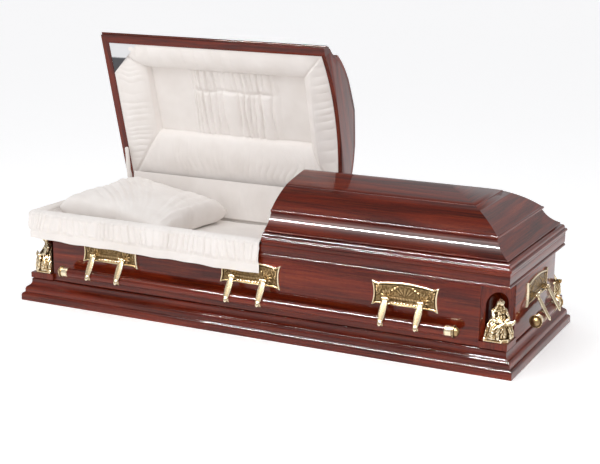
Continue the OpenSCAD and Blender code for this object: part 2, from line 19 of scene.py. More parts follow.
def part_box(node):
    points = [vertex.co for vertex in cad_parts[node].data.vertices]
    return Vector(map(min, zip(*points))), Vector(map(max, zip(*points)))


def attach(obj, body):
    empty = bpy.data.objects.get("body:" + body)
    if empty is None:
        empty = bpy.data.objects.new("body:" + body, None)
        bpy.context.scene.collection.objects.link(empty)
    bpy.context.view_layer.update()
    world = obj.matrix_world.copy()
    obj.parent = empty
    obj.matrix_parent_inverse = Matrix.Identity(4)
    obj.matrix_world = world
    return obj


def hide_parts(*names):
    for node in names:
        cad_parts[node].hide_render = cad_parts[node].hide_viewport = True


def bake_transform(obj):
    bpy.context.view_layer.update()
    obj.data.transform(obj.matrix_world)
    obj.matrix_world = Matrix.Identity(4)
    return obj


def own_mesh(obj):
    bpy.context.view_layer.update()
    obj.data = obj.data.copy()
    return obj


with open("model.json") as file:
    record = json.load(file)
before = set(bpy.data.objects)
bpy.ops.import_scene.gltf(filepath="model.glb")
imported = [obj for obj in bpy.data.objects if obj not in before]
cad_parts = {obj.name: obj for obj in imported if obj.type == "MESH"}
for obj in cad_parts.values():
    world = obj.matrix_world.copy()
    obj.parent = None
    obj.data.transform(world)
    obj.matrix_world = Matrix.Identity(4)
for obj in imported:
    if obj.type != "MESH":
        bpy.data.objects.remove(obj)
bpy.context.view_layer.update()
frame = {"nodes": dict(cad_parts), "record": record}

# %% [markdown]
# ## Sizes
#
# Every size comes from the boxes of the CAD nodes, so a wider casket would stay in step. Outlines of
# the mouldings are lists of [inset, height], with the inset counted inwards from the base's edge, as
# a joiner's template is. X runs to the foot end, the front is -Y, and metres are used throughout.

# %% Sizes from the frame
MM = 0.001


def low(node):
    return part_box(node)[0]


def high(node):
    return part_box(node)[1]


HALF_L = high("base_front").x
HALF_W = -low("base_front").y
BASE_TOP = high("base_front").z
PANEL_TOP = high("panel_front").z
JOINT = high("rail_front").z
RIM_BOTTOM = low("foot_lid_rim").z
RIM_TOP = high("foot_lid_rim").z
ROOF = high("foot_lid_crown").z
PANEL_INSET = HALF_W + low("panel_front").y
WALL_INSET = HALF_W + high("panel_front").y
FASCIA = HALF_W + low("rail_front").y
RIM_INSET = HALF_W + high("rail_front").y
FOOT_START = low("foot_lid_rim").x
HEAD_START = -high("head_lid_rim").x
HEADER = high("foot_lid_header").x - low("foot_lid_header").x
CORNER_X = high("panel_front").x



def joint(name):
    return next(j for j in frame["record"]["behaviour"]["joints"] if j["name"] == name)


hinge = joint("head_lid_hinge")
HINGE = Vector(hinge["pos_m"])
OPEN_ANGLE = math.radians(hinge["range_deg"][1])
# The head lid is drawn closed with its far end at +X, then mirrored and swung open.
OPEN_LID = (Matrix.Translation(HINGE) @ Matrix.Rotation(-OPEN_ANGLE, 4, "X")
            @ Matrix.Translation(-HINGE) @ Matrix.Diagonal((-1, 1, 1, 1)))
print(f"shell {2 * HALF_L:.3f} x {2 * HALF_W:.3f} m, lid opens {math.degrees(OPEN_ANGLE):.1f} degrees")

# %% [markdown]
# ## Helpers for finishes
#
# One small function adds a node with its settings and links. Colours are written as the sRGB hex
# values that a paint chart would give, and one function turns them into the linear values that a
# shader needs. The last helper finishes a piece: its material, its smooth and sharp edges, the body
# it rides on and the CAD nodes it stands for.

# %% Helpers for finishes
scene = bpy.context.scene


def srgb(code):
    """A linear RGBA colour from a hex code."""
    parts = [int(code[i:i + 2], 16) / 255 for i in (1, 3, 5)]
    return tuple(c / 12.92 if c <= 0.04045 else ((c + 0.055) / 1.055) ** 2.4 for c in parts) + (1.0,)


def add(tree, kind, inputs=None, **settings):
    """Adds a node. An input is a value, or the output socket that feeds it."""
    node = tree.nodes.new(kind)
    for key, value in settings.items():
        setattr(node, key, value)
    for key, value in (inputs or {}).items():
        if isinstance(value, bpy.types.NodeSocket):
            tree.links.new(value, node.inputs[key])
        else:
            node.inputs[key].default_value = value
    return node


def ramp(tree, factor, stops):
    """A colour ramp from (place, hex colour) stops."""
    node = add(tree, "ShaderNodeValToRGB", {"Fac": factor})
    while len(node.color_ramp.elements) < len(stops):
        node.color_ramp.elements.new(0.5)
    for element, (place, code) in zip(node.color_ramp.elements, stops):
        element.position = place
        element.color = srgb(code)
    return node.outputs["Color"]


def new_material(name):
    """A material, its node tree and its shader."""
    material = bpy.data.materials.new(name)
    material.use_nodes = True
    tree = material.node_tree
    print("finish:", name)
    return material, tree, tree.nodes["Principled BSDF"]


def dress(obj, material, body, nodes=(), sharp=32):
    """Material, shading, body, and the CAD nodes that this piece stands for."""
    obj.data.materials.clear()
    obj.data.materials.append(material)
    obj.data.polygons.foreach_set("use_smooth", [True] * len(obj.data.polygons))
    obj.data.set_sharp_from_angle(angle=math.radians(sharp))
    if body:
        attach(obj, body)
    if nodes:
        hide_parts(*nodes)
    return obj

# %% [markdown]
# ## Helpers for meshes
#
# Most pieces are made from points and faces that are worked out as arrays, because a rule for every
# point is shorter than a list of steps. A grid of points needs only its shape to give its faces.
# Doubles are merged and faces turned outwards in one place, so no piece can forget it.

# %% Helpers for meshes
def from_bmesh(name, bm):
    mesh = bpy.data.meshes.new(name)
    bm.to_mesh(mesh)
    bm.free()
    obj = bpy.data.objects.new(name, mesh)
    scene.collection.objects.link(obj)
    return obj


def duplicate(obj, name):
    """A new piece with a copy of this one's mesh."""
    twin = bpy.data.objects.new(name, obj.data.copy())
    scene.collection.objects.link(twin)
    return twin


def settled(obj):
    """Makes what the modifiers do part of the mesh, and removes them."""
    evaluated = obj.evaluated_get(bpy.context.evaluated_depsgraph_get())
    mesh = bpy.data.meshes.new_from_object(evaluated)
    obj.modifiers.clear()
    obj.data = mesh
    return obj


def lay_grain(bm, along):
    """Writes the grain attribute: along gives its vector for a point of the board."""
    layer = bm.loops.layers.float_vector.new("grain")
    for face in bm.faces:
        for loop in face.loops:
            loop[layer] = along(loop.vert.co)


def build(name, verts, faces, corner=None, layer="grain", outward=True, merge=1e-6):
    """A mesh object. corner holds one vector for each face corner, kept in the named attribute."""
    mesh = bpy.data.meshes.new(name)
    mesh.from_pydata([tuple(map(float, v)) for v in verts], [], [tuple(map(int, f)) for f in faces])
    if corner is not None:
        attribute = mesh.attributes.new(layer, "FLOAT_VECTOR", "CORNER")
        attribute.data.foreach_set("vector", np.asarray(corner, np.float32).ravel())
    bm = bmesh.new()
    bm.from_mesh(mesh)
    bpy.data.meshes.remove(mesh)
    if merge:
        bmesh.ops.remove_doubles(bm, verts=bm.verts, dist=merge)
        bmesh.ops.dissolve_degenerate(bm, edges=bm.edges, dist=merge)
    if outward:
        bmesh.ops.recalc_face_normals(bm, faces=bm.faces)
    return from_bmesh(name, bm)


def grid_faces(rows, columns, wrap=False):
    """Quads of a rows x columns grid of points, closed round its columns if wrap is set."""
    across = columns if wrap else columns - 1
    r, c = np.meshgrid(np.arange(rows - 1), np.arange(across), indexing="ij")
    right = (c + 1) % columns
    return np.stack([r * columns + c, r * columns + right,
                     (r + 1) * columns + right, (r + 1) * columns + c], -1).reshape(-1, 4)


def border_loop(rows, columns):
    """Point numbers once round the border of such a grid."""
    rim = [r * columns for r in range(rows)] + [(rows - 1) * columns + c for c in range(1, columns)]
    rim += [r * columns + columns - 1 for r in range(rows - 2, -1, -1)]
    return rim + list(range(columns - 2, 0, -1))


def place(obj, matrix):
    """Moves the mesh itself, and keeps its faces outwards under a mirror."""
    obj.data.transform(matrix)
    if matrix.determinant() < 0:
        obj.data.flip_normals()
    return obj


def joined(name, objs):
    """Joins pieces into the first one and names it."""
    bm = bmesh.new()
    for obj in objs:
        bm.from_mesh(obj.data)
    for obj in objs:
        bpy.data.objects.remove(obj)
    return from_bmesh(name, bm)

# %% [markdown]
# ## Slow noise
#
# Cloth and castings are never regular. One table of random numbers with a fixed seed, blended
# smoothly between its cells, gives every fold and dent the same wander on each run.

# %% Slow noise
LATTICE = np.random.default_rng(7).random((256, 256))


def drift(x, y, seed=0):
    """Smooth value noise from 0 to 1 that repeats every 256 cells."""
    x, y = np.asarray(x, float) + 17.3 * seed, np.asarray(y, float) + 5.9 * seed
    i, j = np.floor(x).astype(int), np.floor(y).astype(int)
    fx, fy = x - i, y - j
    fx, fy = fx * fx * (3 - 2 * fx), fy * fy * (3 - 2 * fy)
    a, b = LATTICE[i % 256, j % 256], LATTICE[(i + 1) % 256, j % 256]
    c, d = LATTICE[i % 256, (j + 1) % 256], LATTICE[(i + 1) % 256, (j + 1) % 256]
    return (a * (1 - fx) + b * fx) * (1 - fy) + (c * (1 - fx) + d * fx) * fy


def smooth(x, start, end):
    """0 before start, 1 after end, and a soft step between."""
    t = np.clip((np.asarray(x, float) - start) / (end - start), 0, 1)
    return t * t * (3 - 2 * t)


print(f"noise table of {LATTICE.size} numbers, mean {LATTICE.mean():.3f}")

# %% [markdown]
# ## The camera and the light
#
# The camera stands off the front foot corner with a long lens, so the length of the casket runs
# gently to the left. Gloss shows its surroundings more than its own colour, so the lights are split
# by what they do: narrow strips draw the bright lines along the mouldings and light the end, wide
# scrims that the lacquer can't mirror soften the cloth and the floor, and a pale room fills the
# shadows.

# %% Camera, lights and floor
camera = bpy.data.objects.new("camera", bpy.data.cameras.new("camera"))
scene.collection.objects.link(camera)
camera.data.lens = 79.9
yaw, pitch, roll = (math.radians(a) for a in (-25.72, 13.44, 0.84))
camera.matrix_world = (Matrix.Translation((2.318, -4.737, 1.594)) @ Matrix.Rotation(-yaw, 4, "Z")
                       @ Matrix.Rotation(math.pi / 2 - pitch, 4, "X") @ Matrix.Rotation(roll, 4, "Z"))
scene.camera = camera


def softbox(name, place, target, size, watts):
    """An area light that faces its target."""
    data = bpy.data.lights.new(name, "AREA")
    data.shape = "RECTANGLE"
    data.size, data.size_y = size
    data.energy = watts
    lamp = bpy.data.objects.new(name, data)
    scene.collection.objects.link(lamp)
    lamp.location = place
    lamp.rotation_euler = (Vector(target) - Vector(place)).to_track_quat("-Z", "Y").to_euler()
    return lamp


softbox("strip", (-0.3, -2.3, 3.0), (0, 0, 0.3), (4.0, 0.3), 15)
softbox("side strip", (3.4, -0.9, 2.4), (0.8, 0, 0.3), (0.2, 2.0), 10)
# A second, stronger strip draws the fine lines on the beads and adds nothing to the shading.
softbox("line strip", (0.2, -1.5, 3.2), (0, 0, 0.3), (4.6, 0.10), 900).visible_diffuse = False
# Scrims hung high and wide light the cloth and the floor but are kept out of the lacquer.
softbox("front scrim", (-0.9, -3.4, 3.4), (0, 0, 0.2), (3.0, 2.0), 1).visible_glossy = False
softbox("ceiling scrim", (-0.5, 0.0, 3.3), (-0.4, 0, 0.3), (3.0, 1.4), 12).visible_glossy = False

# The wall behind is bright and the ceiling is dim, which keeps the lacquer deep.
world = bpy.data.worlds.new("studio room")
world.use_nodes = True
tree = world.node_tree
sky = add(tree, "ShaderNodeSeparateXYZ", {0: add(tree, "ShaderNodeTexCoord").outputs["Generated"]})
glow = add(tree, "ShaderNodeMapRange", {"Value": sky.outputs["Z"], "From Min": 0.45, "From Max": 0.85,
                                        "To Min": 1.1, "To Max": 0.25}).outputs[0]
# The lacquer and the brass see the room at little more than half its brightness, as if through flags.
mirrored = add(tree, "ShaderNodeLightPath").outputs["Is Glossy Ray"]
flags = add(tree, "ShaderNodeMath", {0: mirrored, 1: -0.45, 2: 1.0}, operation="MULTIPLY_ADD").outputs[0]
glow = add(tree, "ShaderNodeMath", {0: glow, 1: flags}, operation="MULTIPLY").outputs[0]
tree.links.new(glow, tree.nodes["Background"].inputs["Strength"])
tree.nodes["Background"].inputs["Color"].default_value = srgb("#fbfbfd")
scene.world = world
scene.view_settings.view_transform = "Standard"

# %% [markdown]
# ## Mahogany under lacquer
#
# The shell is solid hardwood stained a red mahogany, filled, and sprayed with many coats of clear
# lacquer that is then rubbed to a high gloss. The eye sees two layers: streaks of dark and orange
# wood that run with each board, and over them a hard clear skin that mirrors the lights. So each
# wooden piece carries its own grain direction as an attribute, the streaks are noise drawn out along
# it, and the gloss is a coat on the shader.

# %% Lacquered mahogany
mahogany, tree, shader = new_material("mahogany, stained and gloss lacquered")
grain = add(tree, "ShaderNodeAttribute", attribute_name="grain").outputs["Vector"]


def along_grain(length_mm, width_mm, **settings):
    """Noise whose spots are that long and wide on the wood."""
    stretch = add(tree, "ShaderNodeVectorMath", {0: grain, 1: (1000 / length_mm, 1000 / width_mm, 7.0)},
                  operation="MULTIPLY")
    noise = add(tree, "ShaderNodeTexNoise", {"Vector": stretch.outputs[0], **settings})
    return noise.outputs["Fac"]


bands = along_grain(620, 60, Scale=1.0, Detail=3.5, Roughness=0.55, Distortion=1.3)
streaks = along_grain(240, 7, Scale=1.0, Detail=5.0, Roughness=0.58, Distortion=0.3)
pores = along_grain(22, 0.9, Scale=1.0, Detail=2.0, Roughness=0.5)    # real pores are finer still
deep = ramp(tree, bands, [(0.28, "#2a0702"), (0.44, "#4e1104"), (0.60, "#762007"), (0.78, "#93380f")])
fine = ramp(tree, streaks, [(0.28, "#2e0902"), (0.50, "#661c07"), (0.74, "#964012")])
wood_colour = add(tree, "ShaderNodeMix", {0: 0.38, 6: deep, 7: fine}, data_type="RGBA").outputs[2]
dark_pores = ramp(tree, pores, [(0.36, "#9c8f8c"), (0.46, "#ffffff")])
wood_colour = add(tree, "ShaderNodeMix", {0: 0.7, 6: wood_colour, 7: dark_pores},
                  data_type="RGBA", blend_type="MULTIPLY").outputs[2]
tree.links.new(wood_colour, shader.inputs["Base Color"])
shader.inputs["Roughness"].default_value = 0.34
# Under the lacquer there is no step from air to wood, so the wood itself hardly mirrors.
shader.inputs["Specular IOR Level"].default_value = 0.06
shader.inputs["Coat Weight"].default_value = 0.6
shader.inputs["Coat Roughness"].default_value = 0.045
shader.inputs["Coat IOR"].default_value = 1.52
ripple = add(tree, "ShaderNodeBump", {"Strength": 0.05, "Distance": 0.0006, "Height": streaks})
tree.links.new(ripple.outputs[0], shader.inputs["Normal"])

# %% [markdown]
# ## Plain board
#
# The floor of the shell is cheap board that nobody sees once the bed is in, sanded and left bare.

# %% Plain board
plain_board, tree, shader = new_material("birch plywood, sanded")
where = add(tree, "ShaderNodeTexCoord").outputs["Object"]
drawn_out = add(tree, "ShaderNodeVectorMath", {0: where, 1: (3, 90, 90)}, operation="MULTIPLY").outputs[0]
figure = add(tree, "ShaderNodeTexNoise",
             {"Vector": drawn_out, "Scale": 1.0, "Detail": 5.0}).outputs["Fac"]
tree.links.new(ramp(tree, figure, [(0.3, "#9a7a55"), (0.7, "#c6a67c")]), shader.inputs["Base Color"])
shader.inputs["Roughness"].default_value = 0.7

# %% [markdown]
# ## Antique brass
#
# The plates, arms, caps and figures are cast, plated with brass, dipped in a darkening bath and then
# rubbed back, so hollows stay brown and whatever stands proud shines. Each brass piece carries a
# point attribute called wear, from 0 in a hollow to 1 on a rubbed edge, worked out from the shape
# itself: a point that lies behind the average of its neighbours is a hollow.

# %% Antique brass
brass, tree, shader = new_material("antique brass, cast and rubbed back")
wear = add(tree, "ShaderNodeAttribute", attribute_name="wear").outputs["Fac"]
where = add(tree, "ShaderNodeTexCoord").outputs["Object"]
mottle = add(tree, "ShaderNodeTexNoise", {"Vector": where, "Scale": 160.0, "Detail": 4.0}).outputs["Fac"]
rubbed = add(tree, "ShaderNodeMath", {0: mottle, 1: 0.5, 2: -0.25}, operation="MULTIPLY_ADD").outputs[0]
rubbed = add(tree, "ShaderNodeMath", {0: wear, 1: rubbed}, operation="ADD", use_clamp=True).outputs[0]
tree.links.new(ramp(tree, rubbed, [(0.10, "#1c140b"), (0.36, "#6d573a"), (0.6, "#b99d72"),
                                   (0.9, "#eee0c2")]), shader.inputs["Base Color"])
shine = add(tree, "ShaderNodeMapRange", {"Value": rubbed, "From Min": 0.1, "From Max": 0.8,
                                         "To Min": 0.52, "To Max": 0.22}).outputs[0]
tree.links.new(shine, shader.inputs["Roughness"])
shader.inputs["Metallic"].default_value = 1.0
cast = add(tree, "ShaderNodeTexNoise", {"Vector": where, "Scale": 900.0, "Detail": 2.0}).outputs["Fac"]
pitted = add(tree, "ShaderNodeBump", {"Strength": 0.12, "Distance": 0.0003, "Height": cast})
tree.links.new(pitted.outputs[0], shader.inputs["Normal"])


def rub(obj, gain=1.0, base=0.55, passes=2):
    """Writes the wear attribute from how far each point stands out from its neighbours."""
    mesh = obj.data
    count = len(mesh.vertices)
    points = np.empty(count * 3)
    mesh.vertices.foreach_get("co", points)
    points = points.reshape(-1, 3)
    edges = np.empty(len(mesh.edges) * 2, int)
    mesh.edges.foreach_get("vertices", edges)
    a, b = edges.reshape(-1, 2).T
    normals = np.empty(count * 3)
    mesh.vertex_normals.foreach_get("vector", normals)
    normals = normals.reshape(-1, 3)
    degree = np.maximum(np.bincount(a, minlength=count) + np.bincount(b, minlength=count), 1)

    def average(values):
        total = np.stack([np.bincount(a, values[b, k], count) + np.bincount(b, values[a, k], count)
                          for k in range(values.shape[1])], 1)
        return total / degree[:, None]

    soft = points
    for _ in range(6):
        soft = average(soft)
    out = ((points - soft) * normals).sum(1)[:, None]
    for _ in range(passes):
        out = 0.5 * out + 0.5 * average(out)
    scale = np.percentile(np.abs(out), 90) + 1e-9
    attribute = mesh.attributes.new("wear", "FLOAT", "POINT")
    attribute.data.foreach_set("value", np.clip(base + gain * 0.35 * out[:, 0] / scale, 0, 1)
                               .astype(np.float32))
    return obj

# %% [markdown]
# ## Crepe
#
# The interior is a soft off-white crepe, woven from hard-twisted yarn that puckers into a fine dry
# grain. It has no gloss, but its raised fibres catch light at a glancing angle, so the shader has a
# little sheen and a bump of two sizes: the pucker, about two millimetres, and the threads, which are
# drawn at about one millimetre because the real ones are too fine to show.

# %% Crepe
crepe, tree, shader = new_material("polyester crepe, woven")
where = add(tree, "ShaderNodeTexCoord").outputs["Object"]
pucker = add(tree, "ShaderNodeTexNoise", {"Vector": where, "Scale": 420.0, "Detail": 3.0}).outputs["Fac"]
threads = add(tree, "ShaderNodeTexVoronoi", {"Vector": where, "Scale": 1000.0}).outputs["Distance"]
surface = add(tree, "ShaderNodeMath", {0: threads, 1: 0.3, 2: pucker},
              operation="MULTIPLY_ADD").outputs[0]
cloud = add(tree, "ShaderNodeTexNoise", {"Vector": where, "Scale": 9.0, "Detail": 2.0}).outputs["Fac"]
tree.links.new(ramp(tree, cloud, [(0.3, "#e6dfd9"), (0.7, "#eee8e3")]), shader.inputs["Base Color"])
shader.inputs["Roughness"].default_value = 0.9
shader.inputs["Sheen Weight"].default_value = 0.25
shader.inputs["Sheen Roughness"].default_value = 0.45
puckered = add(tree, "ShaderNodeBump", {"Strength": 0.22, "Distance": 0.0007, "Height": surface})
tree.links.new(puckered.outputs[0], shader.inputs["Normal"])

# %% [markdown]
# ## Dark steel, card and the floor
#
# The hinges and the latch are steel with a brown oxide finish. The card in the corner of the lid is
# plain coated board, white above and charcoal below, and it says nothing. The floor is a plain pale
# sweep that isn't part of the casket.

# %% Dark steel, card and floor
dark_steel, tree, shader = new_material("steel, brown oxide")
where = add(tree, "ShaderNodeTexCoord").outputs["Object"]
patches = add(tree, "ShaderNodeTexNoise", {"Vector": where, "Scale": 70.0, "Detail": 5.0}).outputs["Fac"]
tree.links.new(ramp(tree, patches, [(0.35, "#0b0908"), (0.65, "#1c1613")]), shader.inputs["Base Color"])
shader.inputs["Metallic"].default_value = 0.6
shader.inputs["Roughness"].default_value = 0.55

card, tree, shader = new_material("coated card, two tone")
zone = add(tree, "ShaderNodeAttribute", attribute_name="zone").outputs["Vector"]
zone = add(tree, "ShaderNodeSeparateXYZ", {0: zone}).outputs[0]
where = add(tree, "ShaderNodeTexCoord").outputs["Object"]
fibre = add(tree, "ShaderNodeTexNoise", {"Vector": where, "Scale": 300.0, "Detail": 3.0}).outputs["Fac"]
zone = add(tree, "ShaderNodeMath", {0: fibre, 1: 0.06, 2: zone}, operation="MULTIPLY_ADD").outputs[0]
tree.links.new(ramp(tree, zone, [(0.47, "#3a3a3e"), (0.53, "#dededf")]), shader.inputs["Base Color"])
shader.inputs["Roughness"].default_value = 0.35

pale, tree, shader = new_material("floor, pale paper")
shader.inputs["Base Color"].default_value = srgb("#fbfbfb")
shader.inputs["Roughness"].default_value = 0.75
shader.inputs["Emission Color"].default_value = srgb("#ffffff")
shader.inputs["Emission Strength"].default_value = 0.36
floor = build("floor", [(-40, -40, 0), (40, -40, 0), (40, 40, 0), (-40, 40, 0)], [(0, 1, 2, 3)],
              outward=False)
floor.data.materials.append(pale)

# %% [markdown]
# ## Mouldings
#
# A moulding is one outline drawn along a path and mitred at the corners. The outline is a closed list
# of [inset, height] points, and because the inset is measured from the rectangle of the base, the
# same list gives the mitres for free: a corner point simply lies further in. Arcs and bowed lines
# make the beads and coves. A planed and sanded edge is never perfectly sharp, so every hard corner
# of an outline is later eased by under a millimetre, which catches the light as a thin line.

# %% Outlines
def arc(centre, radius, start, end, steps=10):
    """Points of a round, from one angle to another in degrees."""
    angles = np.radians(np.linspace(start, end, steps + 1))
    return np.array(centre) + radius * np.stack([np.cos(angles), np.sin(angles)], 1)


def bow(p, q, rise, steps=12):
    """From p to q, bulging to the left by rise at the middle."""
    p, q = np.array(p, float), np.array(q, float)
    d = q - p
    left = np.array([-d[1], d[0]]) / np.hypot(*d)
    t = np.linspace(0, 1, steps + 1)[:, None]
    return p + t * d + left * rise * 4 * t * (1 - t)


def outline(*parts):
    """Points and runs of points as one list."""
    return np.concatenate([np.atleast_2d(np.array(p, float)) for p in parts])


def millimetres(*sizes):
    return [size / MM for size in sizes]


base_top, fascia, rail_top = millimetres(BASE_TOP, FASCIA, JOINT)
panel_top, rim_low, rim_top = millimetres(PANEL_TOP, RIM_BOTTOM, RIM_TOP)
wall, inside, ridge, roof = millimetres(WALL_INSET, RIM_INSET, HALF_W, ROOF)
base_outline = outline([0, 0], arc([12, base_top - 73], 12, 180, 90), [12, base_top - 53],
                       arc([30, base_top - 50], 18, 176, 120, 8),
                       arc([11, base_top - 15], 22, -60, 0, 8), [33, base_top - 8],
                       arc([38, base_top - 8], 5, 180, 90, 6), [wall, base_top], [wall, 0]) * MM
rail_outline = outline([fascia + 4, panel_top], arc([fascia + 4, panel_top + 6], 6, 270, 90, 12),
                       [fascia + 2.5, panel_top + 13], [fascia, panel_top + 20], [fascia, rail_top],
                       [inside, rail_top], [inside, panel_top]) * MM
rim_outline = outline([fascia, rim_low], [fascia, rim_low + 13],
                      arc([fascia + 1, rim_low + 20], 7, 270, 90, 14), [fascia + 3, rim_low + 29],
                      arc([fascia + 15, rim_low + 32], 12, 180, 90, 12), [inside, rim_top],
                      [inside, rim_low]) * MM
cove_end = np.array([fascia + 79, rim_top + 63])
dome_end = np.array([fascia + 203, rim_top + 146])
thick, inner_foot = 14, fascia + 31
crown_outer = outline([fascia + 17, rim_top], [fascia + 19, rim_top + 4],
                      bow([fascia + 21, rim_top + 5], cove_end, -7, 16),
                      arc(cove_end + [0, 6], 6, 260, 90, 14), bow(cove_end + [1, 12], dome_end, 6.5, 20),
                      dome_end + [1.5, 2], bow(dome_end + [3, 3], [ridge, roof], 2, 8)) * MM
crown_inner = outline([inner_foot, rim_top],
                      bow([inner_foot, rim_top + 1], cove_end + [thick - 4, -6], -5, 8),
                      bow(cove_end + [thick, 2], dome_end + [6, 1 - thick], 5, 10),
                      [ridge, roof - thick]) * MM
crown_outline = np.concatenate([crown_outer, crown_inner[::-1]])
print(f"base {base_top:.0f} mm high, rail top at {rail_top:.0f} mm, ridge at {roof:.0f} mm")

# %% [markdown]
# ## One run of moulding
#
# The outline is first eased at its hard corners. Then it is set at each corner of its path and
# joined up by quads. As the faces are made, each of their corners is told how far along the board it
# lies and how far round the outline, which is what the wood's streaks need.

# %% Moulding run
def eased(points, radius=0.9 * MM):
    """The same closed outline with its hard corners rounded."""
    points = points[np.hypot(*(points - np.roll(points, 1, 0)).T) > 1e-7]
    out = []
    for i, p in enumerate(points):
        before, after = p - points[i - 1], points[(i + 1) % len(points)] - p
        a, b = np.hypot(*before), np.hypot(*after)
        turn = math.acos(max(-1.0, min(1.0, float(before @ after) / max(a * b, 1e-12))))
        if turn < 0.5 or p[0] > HALF_W - 1e-6:
            out.append(p)
            continue
        cut = min(radius * math.tan(turn / 2), 0.3 * a, 0.3 * b)
        first, last = p - before / a * cut, p + after / b * cut
        out += [first, 0.25 * first + 0.5 * p + 0.25 * last, last]
    return np.array(out)


def moulding(name, points, corners, seed=0.0):
    """Draws a closed outline past the path corners that corners(inset) gives."""
    points = eased(points)
    n = len(points)
    paths = [corners(inset) for inset, _ in points]
    stops = len(paths[0])
    verts = [(*paths[j][k], points[j][1]) for k in range(stops) for j in range(n)]
    girth = np.concatenate([[0], np.cumsum([np.hypot(*(points[(j + 1) % n] - points[j]))
                                            for j in range(n)])])
    faces, vectors = [], []
    for k in range(stops - 1):
        step = np.subtract(verts[(k + 1) * n], verts[k * n])
        axis = 0 if abs(step[0]) > abs(step[1]) else 1
        for j in range(n):
            j2 = (j + 1) % n
            if points[j][0] > HALF_W - 1e-6 and points[j2][0] > HALF_W - 1e-6:
                continue                              # the two slopes meet here, with no wall between
            face = [k * n + j, k * n + j2, (k + 1) * n + j2, (k + 1) * n + j]
            faces.append(face)
            around = (girth[j], girth[j + 1], girth[j + 1], girth[j])
            vectors += [(verts[v][axis], g, seed + 3.1 * k) for v, g in zip(face, around)]
    for end in (0, (stops - 1) * n):
        face = [end + j for j in range(n)]
        faces.append(face)
        vectors += [(0.02 * points[j][0], points[j][1] * 0.4, seed + 9) for j in range(n)]
    return build(name, verts, faces, vectors)


def side_path(half_long, half_wide):
    """Along the front of a rectangle, mitred at both ends."""
    return lambda inset: [(-half_long + inset, -half_wide + inset),
                          (half_long - inset, -half_wide + inset)]


def turned(degrees):
    return Matrix.Rotation(math.radians(degrees), 4, "Z")


SIDES = {"front": (0, HALF_L, HALF_W), "foot": (90, HALF_W, HALF_L),
         "back": (180, HALF_L, HALF_W), "head": (-90, HALF_W, HALF_L)}

# %% [markdown]
# ## Base and top rail
#
# The base is four runs of stepped moulding and the rail four more, each glued up at its mitres. One
# run is drawn for the front and turned to each side. Each run has its own place in the streaks of
# the wood, as each was cut from its own plank.

# %% Base and rail
for number, (side, (angle, long, wide)) in enumerate(SIDES.items()):
    for part, shape in (("base", base_outline), ("rail", rail_outline)):
        run = moulding(f"{part}_moulding_{side}", shape, side_path(long, wide), seed=1.7 * number)
        dress(place(run, turned(angle)), mahogany, "root", [f"{part}_{side}"])
print("base and rail:", len(base_outline), "and", len(rail_outline), "outline points")

# %% [markdown]
# ## The lids
#
# Each lid is a rim, a crown and a header. The rim and the crown turn two corners, so their path is a
# U: along the front, across the far end and back. Where the crown's slopes meet at the ridge the
# path closes up by itself. The header is the arched board that stiffens the cut end. The head lid is
# the same thing mirrored and swung open on the hinge.

# %% Lids
def lid_path(start):
    return lambda inset: [(start, -HALF_W + inset), (HALF_L - inset, -HALF_W + inset),
                          (HALF_L - inset, HALF_W - inset), (start, HALF_W - inset)]


def extruded(name, points, thick, seed=0.0, ease=0.7 * MM):
    """A board cut to an outline in YZ, thick along +X, with eased edges and grain along Y."""
    n = len(points)
    verts = [(x, *p) for x in (0, thick) for p in points]
    faces = [list(range(n))[::-1], list(range(n, 2 * n))]
    faces += [[j, (j + 1) % n, n + (j + 1) % n, n + j] for j in range(n)]
    obj = build(name, verts, faces, merge=1e-7)
    bm = bmesh.new()
    bm.from_mesh(obj.data)
    rims = [e for e in bm.edges if abs(e.verts[0].co.x - e.verts[1].co.x) < 1e-9]
    bmesh.ops.bevel(bm, geom=rims, offset=ease, segments=2, profile=0.6, affect="EDGES",
                    clamp_overlap=True)
    lay_grain(bm, lambda co: (co.y, co.z + co.x, seed))
    bpy.data.objects.remove(obj)
    return from_bmesh(name, bm)


chord, foot_line = HALF_W - RIM_INSET, RIM_BOTTOM + 2 * MM
arch = 65 * MM
inner = np.stack([HALF_W - crown_inner[:, 0], crown_inner[:, 1]], 1)
# The header's lower edge is an arch, and its upper edge follows the inside of the crown.
header_outline = outline(bow((-chord, foot_line), (chord, foot_line), arch, 32), (chord, RIM_TOP),
                         inner, (inner * [-1, 1])[-2::-1], (-chord, RIM_TOP))

for lid, start, matrix in (("head_lid", HEAD_START, OPEN_LID), ("foot_lid", FOOT_START, Matrix())):
    for part, shape, seed in (("rim", rim_outline, 11.0), ("crown", crown_outline, 23.0)):
        run = moulding(f"{lid}_{part}_shell", shape, lid_path(start), seed + start)
        dress(place(run, matrix), mahogany, lid, [f"{lid}_{part}"])
    header = extruded(f"{lid}_header_board", header_outline, HEADER, seed=31.0 + start)
    header.data.transform(Matrix.Translation((start, 0, 0)))
    dress(place(header, matrix), mahogany, lid, [f"{lid}_header"])
print(f"lids: crown outline of {len(crown_outline)} points, header arch {arch / MM:.0f} mm high")

# %% [markdown]
# ## Panels, ledges and corner posts
#
# The panels are flat boards with eased arrises. The posts are carved with an arched niche, so their
# mesh is a clean copy of the CAD one, with its loose triangles merged first.

# %% Panels, board, ledges and posts
def board(name, lo, hi, grain_axis, ease, seed):
    """A board between two corners with rounded arrises."""
    bm = bmesh.new()
    bmesh.ops.create_cube(bm, size=1)
    for v in bm.verts:
        v.co = Vector([(a + b) / 2 + c * (b - a) for a, b, c in zip(lo, hi, v.co)])
    bmesh.ops.bevel(bm, geom=bm.edges[:], offset=ease, segments=3, profile=0.5, affect="EDGES")
    first, second = [k for k in range(3) if k != grain_axis]
    lay_grain(bm, lambda co: (co[grain_axis], co[first] + co[second], seed))
    return from_bmesh(name, bm)


